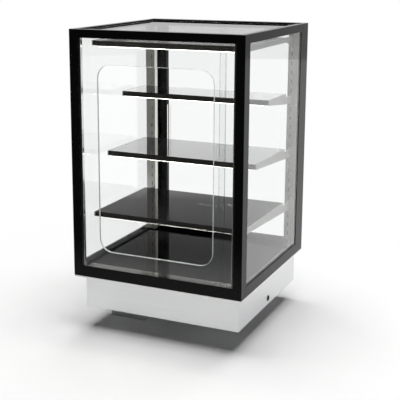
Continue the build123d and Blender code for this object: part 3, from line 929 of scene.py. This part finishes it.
def glass_plate(place: Box, axis: Axis, arris: float) -> Shell:
    """A pane with polished edges.

    Args:
        place: The pane's box.
        axis: The axis through its thickness.
        arris: The radius of its edges.

    Returns:
        A shell with number 0 on the two faces and 1 on the edges.
    """
    level = axis.value[2]
    pane = plate(place.outline(axis, 2 * arris, 2), axis, place.low[level], place.high[level], arris, 2)
    pane.materials[:-2] = 1
    return pane


@dataclass
class CaseFrame(Assembly):
    """The black frame: posts, rails, rear sill and header, glazing beads and the counter rim."""

    edge: float = 0.8 * MM
    rim_edge: float = 0.4 * MM
    seal_width: float = 1.6 * MM
    seal_rise: float = 0.9 * MM
    seal_lap: float = 0.3 * MM
    seal_sink: float = 0.1 * MM
    seal_corner: float = 0.5 * MM
    seal_edge: float = 0.35 * MM

    def build(self) -> None:
        """Dress the frame's nodes and lay the seal round the top pane."""
        sides = [f"{bar}_{side}" for bar in ("front_post", "bottom_rail", "top_rail", "rear_post")
                 for side in ("left", "right")]
        self.dress("frame_black", self.edge, *sides, "front_bottom_rail", "front_top_rail",
                   "rear_sill", "rear_header")
        self.dress("bead_light", self.edge, "glazing_beads")
        self.dress("rim_steel", self.rim_edge, "counter_rim")
        self._top_seal()

    def _top_seal(self) -> None:
        """A silicone line round the top pane, in the gap between it and the rails."""
        pane = Box.of("top_glass")
        outer = pane.grown(self.seal_lap).outline(Axis.Z, self.seal_corner, 3)
        seal = ring_plate(outer, inset(outer, self.seal_width), Axis.Z, pane.high[2] - self.seal_sink,
                          pane.high[2] + self.seal_rise, self.seal_edge)
        self.piece("top_pane_seal", seal.painted(0), "seal_black", "frame_black")


@dataclass
class Panes(Assembly):
    """The fixed panes, with ground and polished edges."""

    arris: float = 0.8 * MM
    opening: tuple[float, float] = (401 * MM, 615 * MM)
    opening_low: float = 101 * MM
    opening_radius: float = 45 * MM
    corner_steps: int = 14

    def build(self) -> None:
        """Make the front pane with its cut-out, and the plain side and top panes."""
        self.piece("front_pane", self._front(), GLASS, "clear_glass", "front_glass")
        for name, node, axis in (("side_pane_left", "side_glass_left", Axis.X),
                                 ("side_pane_right", "side_glass_right", Axis.X),
                                 ("top_pane", "top_glass", Axis.Z)):
            self.piece(name, glass_plate(Box.of(node), axis, self.arris), GLASS, "clear_glass", node)

    def _front(self) -> Shell:
        """The front pane: a plate between its outer edge and the rounded cut-out.

        Returns:
            A closed shell.
        """
        pane = Box.of("front_glass")
        outer = pane.outline(Axis.Y, 2 * self.arris, self.corner_steps)
        width, height = self.opening
        inner = rounded_rectangle((-width / 2, width / 2), (self.opening_low, self.opening_low + height),
                                  self.opening_radius, self.corner_steps)
        return ring_plate(outer, inner, Axis.Y, pane.low[1], pane.high[1], self.arris)


@dataclass
class SlidingDoor(Assembly):
    """One rear door: its pane, two shoes and the pull."""

    side: str
    arris: float = 0.7 * MM
    groove: float = 4.0 * MM
    bond: float = 0.1 * MM
    pull_edge: float = 0.5 * MM
    shoe_edge: float = 0.3 * MM

    def build(self) -> None:
        """Make the pane and the pull, and dress the shoes."""
        body = f"{self.side}_door"
        pane = glass_plate(Box.of(f"{body}_glass"), Axis.Y, self.arris)
        self.piece(f"{body}_pane", pane, GLASS, "clear_glass", f"{body}_glass", body=body)
        pull = self._pull(Box.of(f"{body}_pull"))
        self.piece(f"{body}_handle", pull, "pull_clear", "pull_clear", f"{body}_pull", body=body)
        self.dress("door_nylon", self.shoe_edge, f"{body}_shoes")

    def _pull(self, place: Box) -> Shell:
        """The pull: a block with a half-round finger groove in its outer face, point = centre +
        groove (cos a, -sin a), carried up the pane.

        Args:
            place: The pull's box.

        Returns:
            A closed shell.
        """
        x, y, foot = place.middle[0], place.high[1], place.low[1] + self.bond
        angles = np.linspace(0, pi, 17)
        groove = np.stack((x + self.groove * np.cos(angles), y - self.groove * np.sin(angles)), axis=-1)
        corners = np.array([(place.low[0], y), (place.low[0], foot), (place.high[0], foot),
                            (place.high[0], y)])
        return plate(np.concatenate((groove, corners)), Axis.Z, place.low[2], place.high[2],
                     self.pull_edge, 2)


@dataclass
class LightStrip(Assembly):
    """A light strip: an aluminium channel with an opal diffuser and its end caps."""

    node: str
    wall: float = 0.9 * MM
    cap: float = 2.0 * MM
    cap_rise: float = 0.4 * MM
    foot: float = 1.2 * MM
    play: float = 0.1 * MM
    drop: float = 1.4 * MM
    channel_edge: float = 0.1 * MM
    cap_edge: float = 0.4 * MM
    diffuser_edge: float = 0.2 * MM

    def build(self) -> None:
        """Make the channel and the diffuser inside it."""
        place = Box.of(self.node)
        self.piece(f"{self.node}_channel", self._channel(place), "channel_aluminium", "lamp_white")
        self.piece(f"{self.node}_diffuser", self._diffuser(place), "lamp_white", "lamp_white", self.node)

    def _channel(self, place: Box) -> Shell:
        """A shallow channel, open below, and a cap at each end.

        Args:
            place: The strip's box.

        Returns:
            One shell of closed parts.
        """
        (x0, y0, z0), (x1, y1, z1) = place.low, place.high
        wall, foot = self.wall, z0 + self.foot
        outline = np.array([(y0, foot), (y0 + wall, foot), (y0 + wall, z1 - wall), (y1 - wall, z1 - wall),
                            (y1 - wall, foot), (y1, foot), (y1, z1), (y0, z1)])
        channel = plate(outline, Axis.X, x0 + self.cap, x1 - self.cap, self.channel_edge, 1)
        cap = box_shell((x0, y0, z0 + self.cap_rise), (x0 + self.cap, y1, z1), self.cap_edge, Axis.X)
        caps = cap.repeated([(0, 0, 0), (place.size[0] - self.cap, 0, 0)])
        return Shell.joined([channel, caps]).painted(0)

    def _diffuser(self, place: Box) -> Shell:
        """The diffuser: a bar whose underside is an arc, z = foot + drop (1 - sin a).

        Args:
            place: The strip's box.

        Returns:
            A closed shell.
        """
        y, half = place.middle[1], place.size[1] / 2 - self.wall - self.play
        low, high = place.low[2], place.high[2] - self.wall - self.play
        angles = np.linspace(0, pi, 13)
        arc = np.stack((y - half * np.cos(angles), low + self.drop - self.drop * np.sin(angles)), axis=-1)
        outline = np.concatenate((arc, [(y + half, high), (y - half, high)]))
        return plate(outline, Axis.X, place.low[0] + self.cap + self.play,
                     place.high[0] - self.cap - self.play, self.diffuser_edge, 1)


@dataclass
class Shelf(Assembly):
    """One shelf: dark glass in a folded tray, with brackets and a light strip."""

    level: str
    wall: float = 1.2 * MM
    hem: float = 8.0 * MM
    fold: float = 0.4 * MM
    corner: float = 2.4 * MM
    ribs: int = 3
    rib_half_width: float = 12 * MM
    rib_end: float = 14 * MM
    rib_rise: float = 4 * MM
    rib_edge: float = 2.5 * MM
    rib_corner: float = 6 * MM
    rib_gap: float = 0.6 * MM
    rib_spread: float = 0.3
    side_gap: float = 0.3 * MM
    hem_inset: float = 0.2 * MM
    sheet_inset: float = 0.1 * MM
    glass_corner: float = 3 * MM
    glass_edge: float = 1.0 * MM
    bracket_edge: float = 0.4 * MM

    def build(self) -> None:
        """Make the shelf's pieces and dress its brackets."""
        stem = f"{self.level}_shelf"
        glass = Box.of(f"{stem}_glass")
        top = plate(glass.outline(Axis.Z, self.glass_corner), Axis.Z, glass.low[2], glass.high[2],
                    self.glass_edge)
        self.piece(f"{stem}_top", top, "black_glass", "black_glass", f"{stem}_glass")
        pan = self._pan(Box.of(f"{stem}_tray"))
        self.piece(f"{stem}_pan", pan, "tray_black", "tray_black", f"{stem}_tray")
        LightStrip(self.paint, f"{stem}_lamp").build()
        self.dress("bracket_grey", self.bracket_edge, f"{stem}_brackets")

    def _pan(self, tray: Box) -> Shell:
        """The tray: a sheet with down-turned sides, a hem turned in at the foot of each, and
        stiffening ribs from front to back.

        Args:
            tray: The tray's box.

        Returns:
            One shell of closed parts.
        """
        low, high = tray.low[2], tray.high[2]
        outer = tray.outline(Axis.Z, self.corner, 4)
        sides = ring_plate(outer, inset(outer, self.wall), Axis.Z, low, high - self.side_gap, self.fold)
        hem = ring_plate(inset(outer, self.hem_inset), inset(outer, self.hem), Axis.Z, low,
                         low + self.wall, self.fold)
        sheet = plate(inset(outer, self.sheet_inset), Axis.Z, high - self.wall, high, self.fold)
        x = tray.middle[0]
        rib = box_shell((x - self.rib_half_width, tray.low[1] + self.rib_end, low + self.rib_rise),
                        (x + self.rib_half_width, tray.high[1] - self.rib_end, high - self.rib_gap),
                        self.rib_edge, Axis.Z, self.rib_corner)
        steps = np.linspace(-self.rib_spread, self.rib_spread, self.ribs)
        places = steps[:, None] * np.array([[tray.size[0], 0, 0]])
        return Shell.joined([sides, hem, sheet, rib.repeated(places)]).painted(0)


@dataclass
class Canopy(Assembly):
    """The slim canopy: housing, heater glass, light strip, brackets and screws."""

    edge: float = 2.2 * MM
    corner: float = 5 * MM
    louvre: tuple[float, float] = (46 * MM, 5 * MM)
    louvre_rise: float = 1.0 * MM
    louvre_root: float = 1.5 * MM
    louvre_edge: float = 0.9 * MM
    louvre_corner: float = 2.4 * MM
    louvre_grid: tuple[int, int] = (6, 2)
    louvre_spread: float = 0.36
    louvre_back: float = 40 * MM
    louvre_pitch: float = 16 * MM
    glass_edge: float = 0.9 * MM
    glass_corner: float = 8 * MM
    trim: float = 5.0 * MM
    trim_corner: float = 10 * MM
    trim_lap: float = 1.2 * MM
    trim_drop: float = 0.6 * MM
    trim_gap: float = 0.1 * MM
    trim_edge: float = 0.4 * MM
    bracket_edge: float = 0.4 * MM
    screw_head: float = 1.6 * MM
    screw_flat: float = 0.2

    def build(self) -> None:
        """Make the housing, trim, glass and screws, and dress the brackets."""
        self.piece("canopy_shell", self._housing(Box.of("canopy_housing")), "tray_black",
                   "tray_black", "canopy_housing")
        glass = Box.of("canopy_heater_glass")
        pane = plate(glass.outline(Axis.Z, self.glass_corner), Axis.Z, glass.low[2], glass.high[2],
                     self.glass_edge)
        self.piece("canopy_radiant_glass", pane, "black_glass", "black_glass", "canopy_heater_glass")
        self.piece("canopy_glass_trim", self._trim(glass), "bracket_grey", "bracket_grey")
        LightStrip(self.paint, "canopy_lamp").build()
        self.dress("bracket_grey", self.bracket_edge, "canopy_brackets")
        self._screws()

    def _housing(self, place: Box) -> Shell:
        """A flat case with rounded edges, and rows of raised louvres on its top.

        Args:
            place: The housing's box.

        Returns:
            One shell of closed parts.
        """
        top = place.high[2] - self.louvre_rise
        case = plate(place.outline(Axis.Z, self.corner), Axis.Z, place.low[2], top, self.edge, 4)
        length, width = self.louvre
        louvre = box_shell((-length / 2, -width / 2, top - self.louvre_root),
                           (length / 2, width / 2, place.high[2]), self.louvre_edge, Axis.Z,
                           self.louvre_corner)
        columns, rows = self.louvre_grid
        x = np.linspace(-self.louvre_spread, self.louvre_spread, columns) * place.size[0]
        y = place.high[1] - self.louvre_back - np.arange(rows) * self.louvre_pitch
        return Shell.joined([case, louvre.repeated(grid_of(x, y, Axis.Z))]).painted(0)

    def _trim(self, glass: Box) -> Shell:
        """A thin frame that holds the heater glass.

        Args:
            glass: The heater glass's box.

        Returns:
            A closed shell.
        """
        outer = glass.grown(self.trim).outline(Axis.Z, self.trim_corner)
        return ring_plate(outer, inset(outer, self.trim + self.trim_lap), Axis.Z,
                          glass.low[2] - self.trim_drop, glass.high[2] - self.trim_gap,
                          self.trim_edge).painted(0)

    def _screws(self) -> None:
        """Domed screw heads on the brackets' outer faces, mirrored to the left side."""
        screws = Box.of("canopy_screws")
        z, r = screws.middle[2], screws.size[2] / 2
        seat = screws.high[0] - self.screw_head
        profile = np.concatenate(([(r, seat)], dome(r, self.screw_head, seat, self.screw_flat, 7)))
        head = turned(profile, Axis.X, (0.0, z), 24)
        right = head.repeated([(0, place, 0) for place in (screws.low[1] + r, screws.high[1] - r)])
        left = Shell(right.points * np.array([-1, 1, 1]), [face[::-1] for face in right.faces],
                     right.materials)
        self.piece("canopy_screw_heads", Shell.joined([left, right]), "screw_steel", "screw_steel",
                   "canopy_screws")


@dataclass
class Deck(Assembly):
    """The dark deck plate, the polished strip in front of it, and the uprights behind."""

    edge: float = 0.8 * MM
    upright_edge: float = 0.25 * MM

    def build(self) -> None:
        """Dress the plates and the uprights."""
        self.dress("black_glass", self.edge, "deck_plate")
        self.dress("polished_steel", self.edge, "deck_strip")
        self.dress("upright_steel", self.upright_edge, "slotted_upright_left", "slotted_upright_right")


@dataclass
class Tub(Assembly):
    """The sheet-metal tub, its grommet and the control box below it."""

    wrap_edge: float = 0.6 * MM
    sheet_edge: float = 0.36 * MM
    bore: float = 6.5 * MM
    neck: float = 8.45 * MM
    lip: float = 1.5 * MM
    mouth: tuple[float, float] = (0.4 * MM, 0.6 * MM)
    shoulder: tuple[float, float] = (0.6 * MM, 0.5 * MM)
    screw_radius: float = 2.4 * MM
    screw_head: float = 1.3 * MM
    screw_flat: float = 0.25
    screw_margin: float = 6 * MM

    def build(self) -> None:
        """Dress the sheets, and make the grommet and the control box's screws."""
        self.dress("tub_steel", self.wrap_edge, "tub_wrap")
        self.dress("tub_steel", self.sheet_edge, "tub_sides")
        self.dress("control_steel", self.sheet_edge, "control_box")
        self._grommet()
        self._screws()

    def _grommet(self) -> None:
        """A rubber grommet: a closed ring profile with rounded flanges and a neck, turned round X."""
        place = Box.of("cable_grommet")
        r, neck, bore, lip = place.size[1] / 2, self.neck, self.bore, self.lip
        x0, x1 = place.low[0], place.high[0]
        (wide, deep), (back, down) = self.mouth, self.shoulder
        profile = np.array([(bore, x0 + deep), (bore + wide, x0), (r - back, x0), (r, x0 + down),
                            (r, x0 + lip), (neck, x0 + lip), (neck, x1 - lip), (r, x1 - lip),
                            (r, x1 - down), (r - back, x1), (bore + wide, x1), (bore, x1 - deep)])
        ring = turned(profile, Axis.X, (place.middle[1], place.middle[2]), 48, ring=True)
        self.piece("cable_bushing", ring, "grommet_black", "grommet_black", "cable_grommet")

    def _screws(self) -> None:
        """A domed screw head near each corner of the control box's rear face."""
        box = Box.of("control_box")
        profile = dome(self.screw_radius, self.screw_head, box.high[1], self.screw_flat, 6)
        ends = box.grown(-self.screw_margin)
        places = grid_of((ends.low[0], ends.high[0]), (ends.low[2], ends.high[2]), Axis.Y)
        heads = turned(profile, Axis.Y, (0.0, 0.0), 20).repeated(places)
        self.piece("control_box_screws", heads, "screw_steel", "screw_steel")


@dataclass
class Controls(Assembly):
    """The thermostat and its knob, the dial marks, and the two rocker switches."""

    knob_radius: float = 11.8 * MM
    knob_gap: float = 0.3 * MM
    knob_low: tuple[float, ...] = (0.0, 0.4 * MM, 3.0 * MM, 3.8 * MM)
    knob_high: tuple[float, ...] = (1.6 * MM, 0.5 * MM, 0.1 * MM, 0.0)
    knob_shares: tuple[float, ...] = (0.97, 1.0, 0.98, 0.84, 0.78, 0.75, 0.70, 0.66)
    knob_grip: tuple[float, ...] = (0.0, 0.0, 0.0, 1.0, 1.0, 0.7, 0.2, 0.0)
    flutes: int = 24
    flute_steps: int = 6
    flute_depth: float = 0.45 * MM
    shaft: float = 2.9 * MM
    shaft_ends: tuple[float, float] = (0.4 * MM, 1.0 * MM)
    pointer: tuple[float, float] = (2.2 * MM, 7.2 * MM)
    pointer_half: float = 0.6 * MM
    pointer_depth: tuple[float, float] = (0.4 * MM, 0.02 * MM)
    pointer_edge: float = 0.15 * MM
    dial_radius: float = 14.2 * MM
    dial_turn: float = 135.0
    tick: tuple[float, float] = (0.6 * MM, 2.0 * MM)
    ticks: int = 11
    tick_rise: float = 0.12 * MM
    tick_edge: float = 0.02 * MM
    mark_line: tuple[float, float] = (3.0 * MM, 6.0 * MM)
    mark_half: float = 0.45 * MM
    mark_ring: tuple[float, float] = (1.6 * MM, 1.0 * MM)
    mark_off: float = -4.6 * MM
    mark_level: tuple[float, float] = (-0.1 * MM, 0.08 * MM)
    line_edge: float = 0.05 * MM
    ring_edge: float = 0.04 * MM
    rocker_tilt: float = 8.0
    rocker_pivot: float = 290.5 * MM
    rocker_half: float = 8.0 * MM
    rocker_crown: float = 2.4 * MM
    rocker_valley: float = 1.2 * MM
    thermostat_edge: float = 0.5 * MM
    moulded_edge: float = 0.3 * MM

    def build(self) -> None:
        """Make the knob, its pointer, the dial and the switches' marks, and dress the rest."""
        self.dress("thermostat_cream", self.thermostat_edge, "thermostat")
        self.dress("terminal_white", 0.0, "terminal_block")
        self.dress("control_black", self.moulded_edge, "switch_housings")
        for body in ("power_rocker", "light_rocker"):
            self.dress("rocker_black", self.moulded_edge, body)
            self._switch_marks(body)
        self._knob()
        self._dial()

    def _knob(self) -> None:
        """A fluted knob: radius = r(h) - depth (1 - |sin(n a / 2)|) on its grip, turned round Y."""
        knob = Box.of("thermostat_knob")
        low, high = Box.of("control_box").high[1] + self.knob_gap, knob.high[1]
        x, z = knob.middle[0], knob.middle[2]
        levels = np.concatenate((low + np.array(self.knob_low), high - np.array(self.knob_high)))
        radii, grip = self.knob_radius * np.array(self.knob_shares), np.array(self.knob_grip)
        count = self.flutes * self.flute_steps
        angles = np.arange(count) * 2 * pi / count
        cut = self.flute_depth * (1 - np.abs(np.sin(self.flutes * angles / 2)))
        radius = radii[:, None] - grip[:, None] * cut[None]
        outline = np.stack((x + radius * np.cos(angles), z + radius * np.sin(angles)), axis=-1)
        body = loft(Axis.Y.place(outline, levels[:, None]))
        foot, head = self.shaft_ends
        shaft = turned(np.array([(self.shaft, knob.low[1] + foot), (self.shaft, low + head)]),
                       Axis.Y, (x, z), 24)
        self.piece("thermostat_grip", Shell.joined([body, shaft]), "control_black", "control_black",
                   "thermostat_knob", body="thermostat_knob")
        (start, end), (deep, shallow) = self.pointer, self.pointer_depth
        pointer = box_shell((x - self.pointer_half, high - deep, z + start),
                            (x + self.pointer_half, high - shallow, z + end), self.pointer_edge)
        self.piece("thermostat_pointer", pointer, "mark_white", "control_black",
                   body="thermostat_knob")

    def _dial(self) -> None:
        """Dial marks round the knob: each is a bar turned by its angle a, (x, z) = centre +
        (u cos a + v sin a, v cos a - u sin a)."""
        knob = Box.of("thermostat_knob")
        face = Box.of("control_box").high[1]
        angles = np.radians(np.linspace(-self.dial_turn, self.dial_turn, self.ticks))[:, None]
        width, length = self.tick
        u = np.array([[-0.5, 0.5, 0.5, -0.5]]) * width
        v = np.array([[0, 0, length, length]]) + self.dial_radius
        x = knob.middle[0] + u * np.cos(angles) + v * np.sin(angles)
        z = knob.middle[2] + v * np.cos(angles) - u * np.sin(angles)
        bars = [plate(outline, Axis.Y, face, face + self.tick_rise, self.tick_edge, 1)
                for outline in np.stack((x, z), axis=-1)]
        self.piece("dial_marks", Shell.joined(bars), "control_black", "control_black")

    def _switch_marks(self, body: str) -> None:
        """The line and the ring that stand for on and off, on the rocker's two slopes: height =
        valley + (crown - valley) |z| / half, then turned by the rocker's tilt about its pivot.

        Args:
            body: The rocker.
        """
        x, _, z = Box.of(body).middle
        (low, high), (start, end) = self.mark_level, self.mark_line
        line = box_shell((x - self.mark_half, low, start), (x + self.mark_half, high, end),
                         self.line_edge)
        outer, inner = (circle((x, self.mark_off), radius, 24) for radius in self.mark_ring)
        ring = ring_plate(outer, inner, Axis.Y, low, high, self.ring_edge, 1)
        marks = Shell.joined([line, ring]).painted(0)
        rise, up = marks.points[:, 1], marks.points[:, 2].copy()
        slope = (self.rocker_crown - self.rocker_valley) / self.rocker_half
        height = self.rocker_valley + slope * np.abs(up) + rise
        tilt = radians(self.rocker_tilt)
        marks.points[:, 1] = self.rocker_pivot + height * np.cos(tilt) + up * np.sin(tilt)
        marks.points[:, 2] = z - height * np.sin(tilt) + up * np.cos(tilt)
        self.piece(f"{body}_marks", marks, "mark_white", "rocker_black", body=body)


@dataclass
class TubWorks(Assembly):
    """What works inside the tub: fan, heating element, stands and light driver."""

    def build(self) -> None:
        """Dress the nodes in the tub."""
        self.dress("fan_black", 0.0, "fan_housing", "fan_rotor")
        self.dress("element_steel", 0.0, "heating_element")
        self.dress("stand_steel", 0.0, "element_stands")
        self.dress("driver_aluminium", 0.0, "light_driver")


# Studio


@dataclass
class Studio:
    """The pale floor, the white surroundings, the soft lamp and the camera."""

    floor_level: float = -0.187
    floor_radius: float = 9.0
    floor_rings: int = 24
    floor_steps: int = 96
    floor_colour: Colour = (0.90, 0.90, 0.90)
    floor_roughness: float = 0.12
    floor_ior: float = 1.03
    fade: tuple[float, float] = (0.55, 1.45)
    ahead: tuple[float, float] = (-0.5, -1.3)
    ahead_dark: float = 0.14
    bounce: float = 0.3
    sky: float = 0.035
    band_strength: float = 1.8
    band_turn: tuple[float, float] = (0.1, -0.8)
    bands: tuple[tuple[float, float], ...] = ((0.0, 0.33), (1.0, 0.5), (0.09, 0.33), (0.12, 1.0),
                                              (0.21, 1.0), (0.25, 0.24), (0.29, 0.10),
                                              (0.42, 0.12), (0.6, 0.4))
    lamp_power: float = 132.0
    lamp_size: float = 2.5
    lamp_place: Vector3 = (0.05, 0.12, 2.7)
    lens: float = 83.7
    sensor: float = 36.0
    shift: tuple[float, float] = (0.0678, -0.0865)
    camera_place: Vector3 = (1.2698, -2.8564, 1.0360)
    camera_tilt: float = 90 - 12.41
    camera_turn: float = 25.26

    def build(self) -> None:
        """Make the floor, world, lamp and camera."""
        self._world()
        self._floor()
        self._lamp()
        self._camera()
        bpy.context.scene.view_settings.view_transform = "Standard"

    def _world(self) -> None:
        """The surroundings. Seen directly or straight through glass they are plain white. In
        reflections they are bands of soft light: shade = band(z) times 1 - (1 - dark) smooth(-y),
        for a ray that leaves towards (x, y, z). The light that they give is plain."""
        world = bpy.data.worlds.new("studio")
        bpy.context.scene.world = world
        world.use_nodes = True
        graph = Graph(world.node_tree)
        graph.tree.nodes.clear()
        ray = graph.split(graph.place("Generated"))
        ramp = graph.node("ValToRGB", {"Fac": ray["Z"]})
        stops = ramp.color_ramp.elements
        for index, (height, level) in enumerate(self.bands):
            stop = stops[index] if index < 2 else stops.new(height)
            stop.position = height
            stop.color = (level, level, level, 1.0)
        strength = graph.remap(ray["Y"], *self.band_turn, self.band_strength,
                               self.band_strength * self.ahead_dark, smooth=True)
        mirror, light, white = (
            graph.node("Background", {"Color": colour, "Strength": power}).outputs[0]
            for colour, power in ((ramp.outputs["Color"], strength), (WHITE, self.sky), (WHITE, 1.0)))
        rays = graph.node("LightPath").outputs
        straight = graph.math("LESS_THAN", rays["Glossy Depth"], 0.5)
        through = graph.math("MULTIPLY", rays["Is Transmission Ray"], straight)
        clear = graph.math("MAXIMUM", rays["Is Camera Ray"], through)
        mirrored = graph.math("MAXIMUM", rays["Is Glossy Ray"], rays["Is Transmission Ray"])
        shown = graph.choose(clear, graph.choose(mirrored, light, mirror), white)
        graph.node("OutputWorld", {"Surface": shown})

    def _floor(self) -> None:
        """A round floor whose rings lie closer together near the case: radius i = radius of the
        floor times the square of an even step."""
        rings = self.floor_radius * np.linspace(0.02, 1, self.floor_rings) ** 2
        loops = np.stack([Axis.Z.place(circle((0, 0), radius, self.floor_steps), self.floor_level)
                          for radius in rings])
        faces = [tuple(face) for face in grid_faces(len(rings), self.floor_steps, False).tolist()]
        faces.append(tuple(range(self.floor_steps))[::-1])
        mesh = bpy.data.meshes.new("floor")
        mesh.from_pydata(loops.reshape(-1, 3).tolist(), [], faces)
        mesh.flip_normals()
        mesh.materials.append(self._floor_material())
        floor = bpy.data.objects.new("floor", mesh)
        bpy.context.scene.collection.objects.link(floor)

    def _floor_material(self) -> bpy.types.Material:
        """A pale, slightly glossy surface that turns into white light away from the case, by
        smooth((distance - from) / (to - from)). In reflections and in the light that it throws
        back, the white is dimmer.

        Returns:
            The floor's material.
        """
        graph = MaterialGraph("floor_pale")
        graph.set(Base_Color=self.floor_colour, Roughness=self.floor_roughness, IOR=self.floor_ior)
        place = graph.place()
        flat = graph.vector("MULTIPLY", place, (1.0, 1.0, 0.0)).outputs[0]
        fade = graph.remap(graph.vector("LENGTH", flat).outputs["Value"], *self.fade, smooth=True)
        ahead = graph.remap(graph.split(place)["Y"], *self.ahead, 1.0, self.ahead_dark, smooth=True)
        rays = graph.node("LightPath").outputs
        mirrored = graph.math("GREATER_THAN", rays["Glossy Depth"], 0.5)
        seen = graph.between(mirrored, 1.0, ahead)
        strength = graph.between(rays["Is Diffuse Ray"], seen, self.bounce)
        white = graph.node("Emission", {"Strength": strength}).outputs[0]
        graph.fill(graph.surface, graph.choose(fade, graph.shader.outputs["BSDF"], white))
        return graph.material

    def _lamp(self) -> None:
        """One wide soft lamp overhead, which no ray shows."""
        light = bpy.data.lights.new("overhead", "AREA")
        light.shape = "SQUARE"
        light.size = self.lamp_size
        light.energy = self.lamp_power
        lamp = bpy.data.objects.new("overhead", light)
        lamp.location = self.lamp_place
        lamp.visible_camera = lamp.visible_glossy = lamp.visible_transmission = False
        bpy.context.scene.collection.objects.link(lamp)

    def _camera(self) -> None:
        """The camera at the photograph's viewing angle."""
        data = bpy.data.cameras.new("camera")
        data.lens = self.lens
        data.sensor_width = self.sensor
        data.shift_x, data.shift_y = self.shift
        camera = bpy.data.objects.new("camera", data)
        camera.location = self.camera_place
        camera.rotation_euler = (radians(self.camera_tilt), 0.0, radians(self.camera_turn))
        bpy.context.scene.collection.objects.link(camera)
        bpy.context.scene.camera = camera


def main() -> None:
    """Build the case's sub-assemblies, then the studio."""
    paint = Paintbox.mixed()
    assemblies = [CaseFrame(paint), Panes(paint), SlidingDoor(paint, "left"), SlidingDoor(paint, "right"),
                  Shelf(paint, "upper"), Shelf(paint, "middle"), Shelf(paint, "lower"), Canopy(paint),
                  Deck(paint), Tub(paint), Controls(paint), TubWorks(paint)]
    for assembly in assemblies:
        assembly.build()
        log.info("built %s", type(assembly).__name__)
    Studio().build()


if __name__ == "__main__":
    main()
